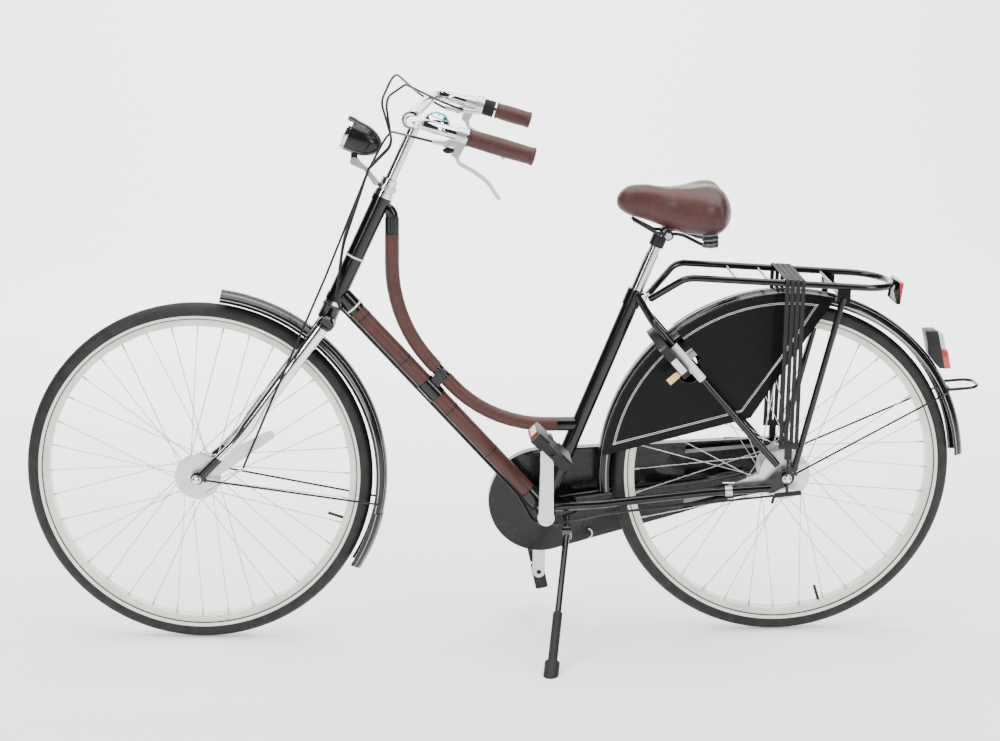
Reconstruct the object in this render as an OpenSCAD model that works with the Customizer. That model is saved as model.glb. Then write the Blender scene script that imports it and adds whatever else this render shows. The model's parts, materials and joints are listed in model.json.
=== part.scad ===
// City bicycle with a low curved top tube, standing on its side stand.
// X runs to the rear, Y to the right-hand (chain) side, Z up.
// The origin lies on the floor, half way between the two tyre contacts.
// Sizes are millimetres.  Lengths that carry the suffix _t are measured along
// the steering axis from the foot of the perpendicular dropped from the front hub.

/* [Wheels] */
// Outer radius of a tyre
wheel_r = 348; // [330:1:420]
// Radius of the round tyre section
tyre_r = 18.5; // [15:0.5:22]
// Thickness of the tyre wall
tyre_wall = 3.2; // [2:0.1:4]
// Width of a rim
rim_w = 25; // [20:0.5:27]
// Radial height of a rim
rim_h = 13; // [10:0.5:20]
// Number of spokes in a wheel
spoke_n = 36; // [20:4:40]
// Diameter of a spoke
spoke_d = 2; // [1.6:0.1:2.6]
// Distance between the two axles
wheelbase = 1181; // [1000:1:1420]

/* [Frame] */
// Angle of the steering axis to the floor
head_angle = 65.5; // [62:0.5:72]
// Distance of the front hub ahead of the steering axis
fork_offset = 101; // [60:1:125]
// Length of the head tube
head_len = 230; // [160:1:280]
// Outer radius of the head tube
head_r = 18; // [16:0.5:22]
// Angle of the seat tube to the floor
seat_angle = 68.3; // [65:0.1:74]
// Length of the seat tube above the bottom bracket
seat_len = 488; // [400:1:590]
// Outer radius of the seat tube
seat_r = 15.5; // [14:0.5:18]
// Outer radius of the curved top tube
top_r = 12.5; // [10:0.5:14]
// Outer radius of the down tube
down_r = 15; // [12:0.5:18]
// Thickness of the leather wrapped round the tubes
wrap_t = 1.8; // [1:0.1:2.5]
// Horizontal distance from bottom bracket to rear axle
rear_centre = 486.4; // [440:1:560]
// Height of the rear axle above the bottom bracket
bb_drop = 78.6; // [60:1:95]
// Outside width of the front hub between the fork ends
front_old = 100; // [96:1:110]
// Outside width of the rear hub between the rear ends
rear_old = 126; // [120:1:140]

/* [Drive] */
// Length of a crank between its two axles
crank_len = 165; // [150:1:175]
// Pitch radius of the chainring
ring_r = 76.9; // [60:1:84]
// Pitch radius of the rear sprocket
sprocket_r = 38.6; // [30:1:44]
// Distance of the chain from the middle plane
chain_line = 47; // [46:0.5:48]
// Outside distance of the crank arms from the middle plane
crank_y = 76.5; // [74:0.5:84]
// Length of a pedal across the bicycle
pedal_w = 92; // [80:1:105]

/* [Fittings] */
// Distance of the mudguard crown above the tyre
guard_gap = 30; // [24:1:40]
// Half distance between the grips
grip_y = 288; // [240:1:345]
// Outer radius of a grip
grip_r = 16.5; // [14:0.5:19]
// Half distance between the two rack rails
rack_y = 72; // [60:1:86]
// Height of the saddle clamp above the top of the seat tube, along the post
post_out = 122; // [100:1:150]
// Outer radius of the seat post
post_r = 12.7; // [12:0.1:13.5]
// Radius of the ring of the wheel lock at the middle of its bow
lock_r = 57; // [54:1:64]

/* [Stance] */
// Lean of the bicycle towards its stand
lean = 4; // [0:0.5:8]
// Turn of the steering to the left while it stands
steer_rest = -4.35; // [-10:0.05:10]
// Sideways reach of the stand's foot
stand_reach = 294; // [250:1:310]

/* [Hidden] */
$fn = 48;
fine = 64;
coarse = 24;
clear = 0.3;
run = 0.06;
front_hub = [-wheelbase / 2, 0, wheel_r];
rear_hub = [wheelbase / 2, 0, wheel_r];
ring_mid = wheel_r - tyre_r;
guard_sec = 28;
guard_mid = wheel_r + guard_gap - guard_sec;
guard_r = wheel_r + guard_gap;
rim_out = ring_mid - tyre_r + 4.5;
rim_in = rim_out - rim_h;
steer_axis = [cos(head_angle), 0, sin(head_angle)];
steer_side = [sin(head_angle), 0, -cos(head_angle)];
steer_foot = front_hub + fork_offset * steer_side;
crown_t = sqrt(pow(guard_r + 30, 2) - pow(fork_offset, 2));
head_low_t = crown_t + 41;
head_top_t = head_low_t + head_len;
nut_t = head_top_t + 38;
stem_t = head_top_t + 154;
bb = [rear_hub.x - rear_centre, 0, wheel_r - bb_drop];
seat_dir = [cos(seat_angle), 0, sin(seat_angle)];
seat_top = bb + seat_len * seat_dir;
post_top = seat_top + post_out * seat_dir;
shell_r = 21;
shell_w = 68;
lug_top = steer_foot + (head_top_t - 22) * steer_axis;
top_a = lug_top + [27, 0, -8];
top_b = [top_a.x, 0, lug_top.z - 230];
top_c = top_b + [196, 0, -217.5];
top_d = seat_at(top_c.z);
down_top = steer_foot + (head_low_t + 20) * steer_axis;
top_path = [lug_top, top_a, top_b, top_c, top_d];
top_bends = [18, 300, 263];
bar_mid = steer_foot + stem_t * steer_axis + [-9, 0, 12];
grip_end = bar_mid + [234, 0, -33];
spoke_step = 720 / spoke_n;
case_in = 40.6;
case_out = 61.6;
sheet = 1.5;
stay_y = rear_old / 2 + 3;
foot_xyz = [98.5 - (1181 - wheelbase) / 2, -stand_reach, 20.5];
stand_pivot = bb + [46, -40, -43];
stand_drop = unit(foot_xyz - stand_pivot);
lock_angle = 131.5;
lock_mid_r = 336;

// ---- helpers -------------------------------------------------------------

function unit(v) = v / norm(v);
function flip(p, side) = [p.x, p.y * side, p.z];
function seat_at(z) = bb + seat_dir * (z - bb.z) / sin(seat_angle);
function on_head(t) = steer_foot + t * steer_axis;
function polar(centre, r, a, y = 0) = centre + [r * cos(a), y, r * sin(a)];

// Places children so that +Z runs along d at p.
// A point of the straight-ahead steering, turned with the bars as they stand.
function turned(p) = let (q = p - steer_foot, k = steer_axis) steer_foot + q * cos(steer_rest)
    + cross(k, q) * sin(steer_rest) + k * (k * q) * (1 - cos(steer_rest));

module along(p, d) {
    translate(p) rotate([0, acos(d.z / norm(d)), atan2(d.y, d.x)]) children();
}

module rod(a, b, r) {
    along(a, b - a) cylinder(r = r, h = norm(b - a));
}

// The stations [point, direction] of one bend with n steps, tangent to both neighbours.
function bend_at(a, b, c, bend_r, n) =
    let (u = unit(b - a), v = unit(c - b), turn = acos(u * v), side = unit(v - u * (u * v)),
        start = b - u * bend_r * tan(turn / 2), mid = start + side * bend_r)
    [for (i = [0 : n]) let (w = turn * i / n)
        [mid - side * bend_r * cos(w) + u * bend_r * sin(w), u * cos(w) + side * sin(w)]];

// The stations of a line through the points p, with a bend radius at each inner point.
function trail(p, bends, n = 6) = let (last = len(p) - 1) concat(
    [[p[0], unit(p[1] - p[0])]],
    [for (i = [1 : 1 : last - 1]) each bend_at(p[i - 1], p[i], p[i + 1], bends[i - 1], n)],
    [[p[last], unit(p[last] - p[last - 1])]]);

// A round bar along the stations; ref is never parallel to it.
module sweep(stations, r, sides, ref) {
    rings = len(stations);
    points = [for (q = stations) let (x = unit(cross(q[1], ref)), y = cross(q[1], x))
        for (k = [0 : sides - 1]) q[0] + r * (x * cos(360 * k / sides) + y * sin(360 * k / sides))];
    walls = [for (i = [0 : rings - 2]) for (k = [0 : sides - 1]) let (a = i * sides, l = (k
        + 1) % sides)
        each [[a + k, a + sides + l, a + l], [a + k, a + sides + k, a + sides + l]]];
    low_cap = [for (k = [0 : sides - 1]) k];
    high_cap = [for (k = [sides - 1 : -1 : 0]) (rings - 1) * sides + k];
    polyhedron(points, concat(walls, [low_cap, high_cap]));
}

module bent(p, bends, r, sides = 12, ref = [0, 1, 0], n = 6) {
    sweep(trail(p, bends, n), r, sides, ref);
}

// The flat outline of a belt round two circles, as circles and tangents.
module belt(a, ra, b, rb) {
    d = b - a;
    q = atan2(d.y, d.x);
    w = acos((ra - rb) / norm(d));
    translate(a) circle(r = ra, $fn = fine);
    translate(b) circle(r = rb, $fn = fine);
    polygon([a + ra * [cos(q + w), sin(q + w)], b + rb * [cos(q + w), sin(q + w)],
        b + rb * [cos(q - w), sin(q - w)], a + ra * [cos(q - w), sin(q - w)]]);
}

// Stands a flat outline (x, z) upright with its thickness along Y from y0 to y1.
module upright(y0, y1) {
    translate([0, y1, 0]) rotate([90, 0, 0]) linear_extrude(y1 - y0) children();
}

// A ring about the Y axis through centre: the outline is (radius, y).
module round_y(centre, angle = 360, start = 0) {
    translate(centre) rotate([90, 0, 0]) rotate([0, 0, start])
        rotate_extrude(angle = angle, $fn = 96) mirror([0, 1]) children();
}

module disc_y(centre, r, y0, y1) {
    translate([centre.x, y1, centre.z]) rotate([90, 0, 0]) cylinder(r = r, h = y1 - y0);
}

module both() {
    children();
    mirror([0, 1, 0]) children();
}

module standing() {
    translate([0, 0, tyre_r]) rotate([lean, 0, 0]) translate([0, 0, -tyre_r]) children();
}

module steered() {
    standing() translate(steer_foot) rotate(a = steer_rest,
        v = steer_axis) translate(-steer_foot) children();
}

// ---- wheels --------------------------------------------------------------

module tyre(hub, valve_angle) {
    round_y(hub) difference() {
        translate([ring_mid, 0]) circle(r = tyre_r, $fn = fine);
        translate([ring_mid, 0]) circle(r = tyre_r - tyre_wall, $fn = fine);
        translate([0, -rim_w / 2]) square([rim_out, rim_w]);
    }
    along(polar(hub, rim_in - 0.2, valve_angle), polar([0, 0, 0], -1, valve_angle)) cylinder(r = 3,
        h = 32);
}

module rim(hub) {
    lip = 2.2;
    round_y(hub) difference() {
        translate([rim_in, -rim_w / 2]) square([rim_h, rim_w]);
        translate([rim_in + 4, -rim_w / 2 + lip]) square([rim_h, rim_w - 2 * lip]);
    }
}

module spokes(hub, flange_y, hole_r) {
    for (i = [0 : spoke_n / 2 - 1]) for (side = [-1, 1]) {
        lead = (i % 2 == 0) ? 1 : -1;
        at_rim = (i + (side > 0 ? 0.5 : 0)) * spoke_step;
        at_hub = at_rim + lead * 3 * spoke_step;
        a = polar(hub, hole_r, at_hub, side * (flange_y + lead * 2.3));
        b = polar(hub, rim_in + 2, at_rim, side * 2);
        rod(a, b, spoke_d / 2);
        rod(b + unit(a - b) * 14, b, spoke_d * 0.95);
    }
}

module hub_shell(hub, flange_y, flange_r, barrel_r, bore_r, half_w) {
    difference() {
        union() {
            for (side = [-1, 1]) disc_y(hub, flange_r, side * flange_y - 1.6, side * flange_y + 1.6);
            disc_y(hub, barrel_r, -flange_y, flange_y);
            disc_y(hub, barrel_r * 0.72, -half_w, half_w);
        }
        disc_y(hub, bore_r, -half_w - 1, half_w + 1);
    }
}

module axle(hub, old, axle_r, tip) {
    disc_y(hub, axle_r, -tip, tip);
    for (side = [-1, 1]) difference() {
        disc_y(hub, 9.5, side * (old / 2 + 9.7) - 4, side * (old / 2 + 9.7) + 4);
        disc_y(hub, axle_r, -tip - 1, tip + 1);
    }
}

front_axle_r = 4.7;
rear_axle_r = 4.9;
front_tip = front_old / 2 + 24.5;
rear_tip = rear_old / 2 + 23;

module front_tyre() { color("#202022") steered() tyre(front_hub, -18); }
module rear_tyre() { color("#202022") standing() tyre(rear_hub, -72); }
module front_rim() { color("ivory") steered() rim(front_hub); }
module rear_rim() { color("ivory") standing() rim(rear_hub); }
module front_spokes() { color("silver") steered() spokes(front_hub, 29, 27); }
module rear_spokes() { color("silver") standing() spokes(rear_hub, 28, 41); }
module front_hub_shell() {
    color("silver") steered() hub_shell(front_hub, 29, 31, 17, front_axle_r + run, 32.4);
}
module rear_hub_shell() {
    color("silver") standing() hub_shell(rear_hub, 28, 45, 33, rear_axle_r + run, 34.4);
}
module rear_sprocket() {
    color("dimgray") standing() difference() {
        union() {
            disc_y(rear_hub, sprocket_r - 4.4, chain_line - 1.5, chain_line + 1.5);
            disc_y(rear_hub, 19, 34.4 + clear, chain_line + 8);
        }
        disc_y(rear_hub, rear_axle_r + run, 0, chain_line + 9);
    }
}
module front_axle() { color("silver") steered() axle(front_hub, front_old, front_axle_r, front_tip); }
module rear_axle() { color("silver") standing() axle(rear_hub, rear_old, rear_axle_r, rear_tip); }

// ---- frame ---------------------------------------------------------------

// The solid volume of the head tube, the seat tube with its shell, and the steerer's way.
module head_body(extra = 0) { rod(on_head(head_low_t), on_head(head_top_t), head_r + extra); }
// The room the steerer, cups and head tube take out of the tubes that meet them.
module head_way() { rod(on_head(crown_t), on_head(head_top_t + 40), head_r + 2); }
module seat_body() {
    rod(bb, seat_top, seat_r);
    disc_y(bb, shell_r, -shell_w / 2, shell_w / 2);
}
module head_tube() {
    color("#1b1b1d") standing() difference() {
        union() {
            head_body();
            for (t = [head_low_t + 6, head_top_t - 6])
                rod(on_head(t - 6), on_head(t + 6), head_r + 2);
        }
        rod(on_head(head_low_t - 5), on_head(head_top_t + 5), head_r - 2.4);
    }
}
top_trail = trail(top_path, top_bends, 9);
module top_tube() {
    color("#1b1b1d") standing() difference() {
        union() {
            sweep(top_trail, top_r, 16, [0, 1, 0]);
            rod(top_a + [0, 0, -14], top_a + [0, 0, -46], top_r + wrap_t);
            rod(top_d, top_d - [44, 0, 0], top_r + wrap_t);
        }
        head_way();
        rod(bb, seat_top, seat_r + 0.01);
    }
}
brace_top = (top_b + top_c) / 2;
brace_low = down_top + (bb - down_top) * 0.475;
module down_tube() {
    color("#1b1b1d") standing() difference() {
        union() {
            rod(down_top, bb, down_r);
            rod(brace_low, brace_low + unit(down_top - bb) * 40, down_r + 3.4);
            rod(down_top, down_top + unit(bb - down_top) * 52, down_r + 3);
            rod(bb, bb + unit(down_top - bb) * 48, down_r + 3);
            hull() for (q = [0, 1])
                translate((brace_low + unit(down_top - bb) * 20) * (1 - q) + brace_top * q)
                    rotate([90, 0, 0]) cylinder(r = 11, h = 24, center = true, $fn = 32);
        }
        head_way();
        seat_body();
        sweep(top_trail, top_r, 16, [0, 1, 0]);
    }
}
module seat_tube() {
    color("#1b1b1d") standing() difference() {
        union() {
            seat_body();
            rod(seat_top - 34 * seat_dir, seat_top, seat_r + 2.5);
        }
        rod(bb + 30 * seat_dir, seat_top + seat_dir, post_r + 0.05);
        disc_y(bb, shell_r - 4, -shell_w, shell_w);
    }
    color("silver") standing() rod(seat_top + [12, -15, -14], seat_top + [12, 15, -14], 3.4);
}
leg_foot = rear_hub + [14, 0, 22];
stay_low = rear_hub + [-30, 0, -22];
module chain_stays() {
    left = [bb + [12, -26, 6], bb + [111, -40, 17], bb + [322, -53, 44], stay_low + [0, -stay_y, 0]];
    right = [bb + [12, 24, 6], bb + [111, 31, 17], bb + [334, 31, 46],
        stay_low + [-10, stay_y, 0], stay_low + [0, stay_y, 0]];
    color("#1b1b1d") standing() {
        difference() {
            union() {
                bent(left, [150, 220], 9, 12, [0, 0, 1], 4);
                bent(right, [150, 120, 20], 8, 12, [0, 0, 1], 4);
                for (side = [-1, 1]) {
                    upright(side * stay_y - 2.5, side * stay_y + 2.5)
                        belt([rear_hub.x, rear_hub.z], 17, [stay_low.x, stay_low.z], 11);
                    disc_y(leg_foot, 9, side * stay_y - 2.5, side * stay_y + 2.5);
                }
            }
            seat_body();
            disc_y(rear_hub, rear_axle_r + 0.1, -100, 100);
        }
        rod(bb + [62, -26, 12], bb + [62, 17, 12], 6);
    }
}
module seat_stays() {
    end = rear_hub + [-19, 0, 26];
    color("#1b1b1d") standing() for (side = [-1, 1]) difference() {
        union() {
            bent([flip(seat_at(seat_top.z - 10), side) + [4, side * 16, 0], seat_top + [29,
                side * 41, -58],
                end + [0, side * (stay_y + 0.5), 0]], [40], 7.5, 12, [1, 0, 0], 4);
        }
        rod(bb, seat_top, seat_r + 2.55);
        disc_y(leg_foot, 9, side * stay_y - 2.5, side * stay_y + 2.5);
        upright(side * stay_y - 2.5, side * stay_y + 2.5)
            belt([rear_hub.x, rear_hub.z], 17, [stay_low.x, stay_low.z], 11);
    }
}
// The leather sleeve on the curved tube between two stations of its trail.
module curved_wrap(first, last, before, after) {
    part = [for (i = [first : last]) top_trail[i]];
    whole = concat([[part[0][0] - part[0][1] * before, part[0][1]]], part,
        [[part[last - first][0] + part[last - first][1] * after, part[last - first][1]]]);
    difference() {
        sweep(whole, top_r + wrap_t, 16, [0, 1, 0]);
        sweep(top_trail, top_r, 16, [0, 1, 0]);
    }
}
module tube_wraps() {
    up = unit(down_top - bb);
    upper_run = top_a.z - 47 - top_trail[11][0].z;
    lower_run = top_d.x - 45 - top_trail[30][0].x;
    color("#4a2a22") standing() {
        curved_wrap(11, 20, upper_run, 16);
        curved_wrap(21, 30, 16, lower_run);
        difference() {
            union() {
                rod(down_top - up * 53, brace_low + up * 41, down_r + wrap_t);
                rod(brace_low - up, bb + up * 49, down_r + wrap_t);
            }
            rod(down_top, bb, down_r);
        }
    }
}
module headset_cups() {
    color("silver") standing() {
        for (q = [[head_low_t - 12, head_low_t], [head_top_t, head_top_t + 11]]) difference() {
            rod(on_head(q[0]), on_head(q[1]), head_r + 1.5);
            rod(on_head(q[0] - 1), on_head(q[1] + 1), 12.7 + 1.2);
        }
    }
}

// ---- mudguards -----------------------------------------------------------

// The section of a mudguard: part of a thin circle round the tyre, as (radius, y).
module guard_section(extra = 0, thin = 1.2) {
    difference() {
        translate([guard_mid, 0]) circle(r = guard_sec + extra, $fn = fine);
        translate([guard_mid, 0]) circle(r = guard_sec + extra - thin, $fn = fine);
        translate([guard_mid - 60, -50]) square([66, 100]);
    }
}
edge_r = guard_mid + 7;
edge_y = sqrt(pow(guard_sec, 2) - 49);
module rear_mudguard() {
    color("#18181a") standing() {
        round_y(rear_hub, 181.5, 5) guard_section();
    }
}
module front_mudguard() {
    color("#18181a") steered() {
        round_y(front_hub, 95, -12.5) guard_section();
        round_y(front_hub, 18.86, -31.4) guard_section(1.4, 1.8);
        for (side = [-1, 1]) rod(polar(front_hub, guard_r + 0.3, 51.7, side * 8),
            polar(front_hub, guard_r + 12.3, 51.7, side * 8), 3);
    }
}
guard_wire_r = 2.1;
module front_mudguard_stays() {
    angle = -9;
    color("#222224") steered() for (side = [-1, 1]) {
        near = polar(front_hub, 17, angle, side * (front_old / 2 + 7.3));
        rod(near, polar(front_hub, edge_r + 8, angle, side * (edge_y + guard_wire_r)), guard_wire_r);
        rod(near - [0, side * 2, 0], near + [0, side * 3, 0], 4);
    }
}
// One wire: from the left end, round over the mudguard and down to the right end.
module rear_mudguard_stays() {
    angle = 26.4;
    end_y = rear_old / 2 + 8.3;
    color("#222224") standing() {
        bent([for (q = [[20, -end_y], [edge_r - 16, -33], [guard_r + 2.1, -31], [guard_r + 2.1,
            31], [edge_r - 16, 33],
            [20, end_y]]) polar(rear_hub, q[0], angle, q[1])], [20, 26, 26, 20], guard_wire_r, 8,
            [-sin(angle), 0, cos(angle)], 4);
        for (side = [-1, 1]) rod(polar(rear_hub, 20, angle, side * (end_y - 2.6)),
            polar(rear_hub, 20, angle, side * (end_y + 3)), 4);
    }
}

// ---- rack ----------------------------------------------------------------

rack_front = rear_hub + [-218, 0, guard_r + 37];
rack_rear = rear_hub + [205, 0, guard_r + 12];
rack_foot = seat_top + [26, 0, -14];
function rack_z(x) = rack_front.z
    + (rack_rear.z - rack_front.z) * (x - rack_front.x) / (rack_rear.x - rack_front.x);
leg_top = [rear_hub.x + 96, rack_y + 5, rack_z(rear_hub.x + 96) - 22];
module rack() {
    color("#1b1b1d") standing() {
        bent([rack_foot + [0, -20, 0], rack_front + [0, -rack_y, 0], rack_rear + [0, -rack_y, 0],
            rack_rear + [0, rack_y, 0], rack_front + [0, rack_y, 0], rack_foot + [0, 20, 0]], [40,
                66, 66, 40], 7, 12, [0, 0, 1], 6);
        rod(rack_foot + [0, -24, 0], rack_foot + [0, 24, 0], 5);
        for (dx = [-116, -52, 76]) {
            x = rear_hub.x + dx;
            rod([x, -rack_y, rack_z(x)], [x, rack_y, rack_z(x)], 2.6);
        }
        both() {
            rod(leg_top, leg_foot + [0, stay_y + 10.5, 0], 6.5);
            translate([leg_top.x - 12, leg_top.y - 2.5, leg_top.z - 8]) cube([26, 5, 26]);
            disc_y(leg_foot, 9, stay_y + 2.6, stay_y + 8);
        }
        translate([leg_top.x - 10, -rack_y - 4, rack_z(leg_top.x) - 18]) cube([18, 2 * rack_y + 8, 3]);
    }
}
strap_x = rear_hub.x - 2;
strap_hook_z = wheel_r + 78;
module rack_straps() {
    out = rack_y + 10.6;
    color("#151517") standing() for (i = [-1.5 : 1.5]) {
        x = strap_x + i * 10.5;
        top = rack_z(x) + 7.2;
        translate([x - 4, 0, 0]) rotate([90, 0, 90]) linear_extrude(8) for (side = [-1, 1]) polygon([
            [0, top], [0, top + 2.2], [side * (out - 3), top + 2.2], [side * out, top - 2],
            [side * (stay_y + 20), strap_hook_z], [side * (stay_y + 17.8), strap_hook_z],
            [side * (out - 2.2), top - 2], [side * (out - 4), top]]);
    }
    color("#151517") standing() both() {
        translate([strap_x - 20, stay_y + 16, strap_hook_z - 12]) cube([40, 6, 11.9]);
        translate([strap_x - 7, stay_y + 16, strap_hook_z - 34]) cube([14, 6, 22]);
        rod([strap_x, stay_y + 19, strap_hook_z - 33], [strap_x, stay_y + 19, wheel_r + 10.5], 2.2);
    }
}
module rack_reflector() {
    color("firebrick") standing() translate(rack_rear + [7.9, 0, -14]) rotate([0, 7, 0]) {
        translate([-2.2, -22, 3]) cube([4, 44, 18]);
        difference() {
            translate([2, -38, -24]) cube([9, 76, 44]);
            translate([0, -36, -22]) cube([5, 72, 40]);
        }
    }
}
module rear_light() {
    a = 38.8;
    color("#1b1b1d") standing() translate(polar(rear_hub, guard_r, a)) rotate([0, 90 - a, 0]) {
        translate([-24, -13, 0.4]) cube([48, 26, 12]);
        difference() {
            translate([-22, -19, 12.4]) cube([44, 38, 20]);
            translate([-14, -15, 20]) cube([40, 30, 8]);
        }
        color("red") translate([22.3, -18, 12.8]) cube([7, 36, 19]);
        color("white") translate([-20, -17, 32.7]) cube([40, 34, 4]);
    }
}

// ---- skirt guards, chain case, chain --------------------------------------

module guard_panel_outline() {
    difference() {
        translate([rear_hub.x, rear_hub.z]) intersection() {
            circle(r = guard_r - 5, $fn = 96);
            polygon([[130, 480], [80, 344], [2, 230], [-70, 115], [-366, 38], [-480, 60], [-480, 480]]);
        }
        translate([rear_hub.x, rear_hub.z] + lock_mid_r * [cos(lock_angle), sin(lock_angle)])
            rotate(lock_angle) {
                translate([-40, -26]) square([90, 52]);
                translate([-44, 8]) circle(r = 25, $fn = fine);
            }
    }
}
module coat_guards() {
    color("#141416") standing() both() upright(edge_y + 0.4, edge_y + 0.4
        + sheet) guard_panel_outline();
}
module case_outline(grow) {
    belt([bb.x, bb.z], 109 + grow, [rear_hub.x, rear_hub.z], 52 + grow);
}
stay_cut_x = rear_hub.x - 190;
module chaincase() {
    color("#161618") standing() difference() {
        upright(case_in, case_out) case_outline(0);
        upright(case_in + sheet, case_out - sheet) case_outline(-sheet);
        disc_y(bb, shell_r + 3, case_in - 1, case_in + 5);
        disc_y(bb, 24, case_out - 5, case_out + 1);
        translate([stay_cut_x, case_in - 1, wheel_r - 300]) cube([500, sheet + 1.5, 600]);
        translate([rear_hub.x - 106, case_out - sheet - 2.6, wheel_r - 52]) cube([132, sheet + 4, 110]);
    }
}
module chain() {
    color("gray") standing() upright(chain_line - 3.6, chain_line + 3.6) difference() {
        belt([bb.x, bb.z], ring_r + 4, [rear_hub.x, rear_hub.z], sprocket_r + 4);
        belt([bb.x, bb.z], ring_r - 4, [rear_hub.x, rear_hub.z], sprocket_r - 4);
    }
}

// ---- crank, pedals ---------------------------------------------------------

spindle_r = 8.5;
arm_t = 14;
module crankset() {
    y = crank_y - arm_t;
    color("silver") standing() {
        difference() {
            disc_y(bb, spindle_r, -y, y);
        }
        for (side = [-1, 1]) {
            eye = bb + [0, 0, -side * crank_len];
            difference() {
                union() {
                    upright(side * (y + arm_t / 2) - arm_t / 2, side * (y + arm_t / 2) + arm_t / 2)
                        belt([bb.x, bb.z], 15, [eye.x, eye.z], 12);
                    disc_y(bb, 17, side > 0 ? y : -crank_y, side > 0 ? crank_y : -y);
                }
                disc_y(eye, 5 + run, -200, 200);
            }
        }
    }
}
module chainring() {
    color("silver") standing() difference() {
        union() {
            disc_y(bb, ring_r - 4.4, chain_line - 1.6, chain_line + 1.6);
            disc_y(bb, 16, chain_line - 8, chain_line + 10);
        }
        disc_y(bb, spindle_r, 0, 80);
        for (i = [0 : 4]) disc_y(polar(bb, ring_r * 0.58, i * 72 + 18), 14, 0, 80);
    }
}
module pedal(side) {
    eye = bb + [0, 0, -side * crank_len];
    near = crank_y + 5.5;
    tilt = side < 0 ? 44 : 78;
    translate([eye.x, 0, eye.z]) rotate([0, tilt, 0]) scale([1, side, 1]) {
        rotate([-90, 0, 0]) translate([0, 0, crank_y - arm_t]) cylinder(r = 5, h = near
            + pedal_w - crank_y + arm_t - 4);
        difference() {
            union() {
                for (y = [near, near + pedal_w - 5]) translate([-44, y, -9]) cube([88, 5, 18]);
                for (x = [-45, 17]) translate([x, near + 5.2, -13]) cube([28, pedal_w - 10.4, 26]);
                translate([-17, near + 5.2, -8]) cube([34, pedal_w - 10.4, 16]);
            }
            rotate([-90, 0, 0]) cylinder(r = 5, h = 300);
        }
        color("orange") for (x = [-48.6, 45.2]) translate([x, near + 22, -8]) cube([3.4,
            pedal_w - 44, 16]);
    }
}
module left_pedal() { color("#18181a") standing() pedal(-1); }
module right_pedal() { color("#18181a") standing() pedal(1); }

// ---- side stand -------------------------------------------------------------

stand_fold = unit([0.985, -0.03, 0.13]);
stand_turn = unit(cross(stand_drop, stand_fold));
module kickstand_bracket() {
    color("#1b1b1d") standing() {
        difference() {
            union() {
                translate([stand_pivot.x - 22, -24, bb.z - 12]) cube([44, 44, 11.6]);
                along(stand_pivot - stand_turn * 16, stand_turn) cylinder(r = 10, h = 8.4);
                rod(stand_pivot - stand_turn * 12.4, [stand_pivot.x, -13, bb.z - 8], 6.5);
            }
            along(stand_pivot - stand_turn * 30, stand_turn) cylinder(r = 5 + run, h = 60);
            along(stand_pivot - stand_turn * 7.3, stand_turn) cylinder(r = 10.6, h = 30);
        }
        rod([stand_pivot.x, -2, bb.z - 20], [stand_pivot.x, -2, bb.z + 14], 4);
        translate([stand_pivot.x - 14, -14, bb.z + 9]) cube([22, 24, 4]);
    }
}
module kickstand_leg() {
    color("#1b1b1d") standing() {
        along(stand_pivot - stand_turn * 18, stand_turn) cylinder(r = 5, h = 24);
        along(stand_pivot - stand_turn * 7, stand_turn) cylinder(r = 10, h = 14);
        rod(stand_pivot, foot_xyz - stand_drop * 24, 6.5);
    }
}
// The foot is cut off level with the floor.
module kickstand_foot() {
    color("#151517") difference() {
        standing() difference() {
            union() {
                rod(foot_xyz - stand_drop * 140, foot_xyz - stand_drop * 20, 9.5);
                rod(foot_xyz - stand_drop * 28, foot_xyz + stand_drop * 30, 15);
            }
            rod(foot_xyz - stand_drop * 150, foot_xyz - stand_drop * 23.9, 6.55);
        }
        translate([foot_xyz.x - 100, -stand_reach - 100, -100]) cube([200, 200, 100]);
    }
}

// ---- wheel lock --------------------------------------------------------------

module lock_place() {
    translate(polar(rear_hub, lock_mid_r, lock_angle)) rotate([0, -lock_angle, 0]) translate([0, 0,
        14]) children();
}
// In the lock's own frame X points away from the hub, Y to the right, Z down along the tyre.
module lock_body() {
    thick = 18;
    color("#151517") standing() lock_place() {
        rotate([0, 0, -122]) translate([0, 0, -thick / 2]) rotate_extrude(angle = 244,
            $fn = 96) difference() {
            translate([lock_r - 9.5, 0]) square([19, thick]);
            translate([lock_r, thick / 2]) circle(r = 4.4);
        }
        difference() {
            translate([-34, -lock_r - 30, -thick / 2]) cube([76, 20.3, thick]);
            cylinder(r = lock_r + 9.7, h = 60, center = true);
        }
    }
    color("gold") standing() lock_place() {
        translate([-20, -lock_r - 20.3, thick / 2 + 0.1]) cylinder(r = 6, h = 4);
        translate([-20 - 7, -lock_r - 21.3, thick / 2 + 4.1]) cube([14, 2, 24]);
    }
}
module lock_bow() {
    color("silver") standing() lock_place()
        rotate([0, 0, -120]) rotate_extrude(angle = 128, $fn = 96) translate([lock_r, 0]) circle(r = 4);
}

// ---- rear brake, adjuster, cables ----------------------------------------------

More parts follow.
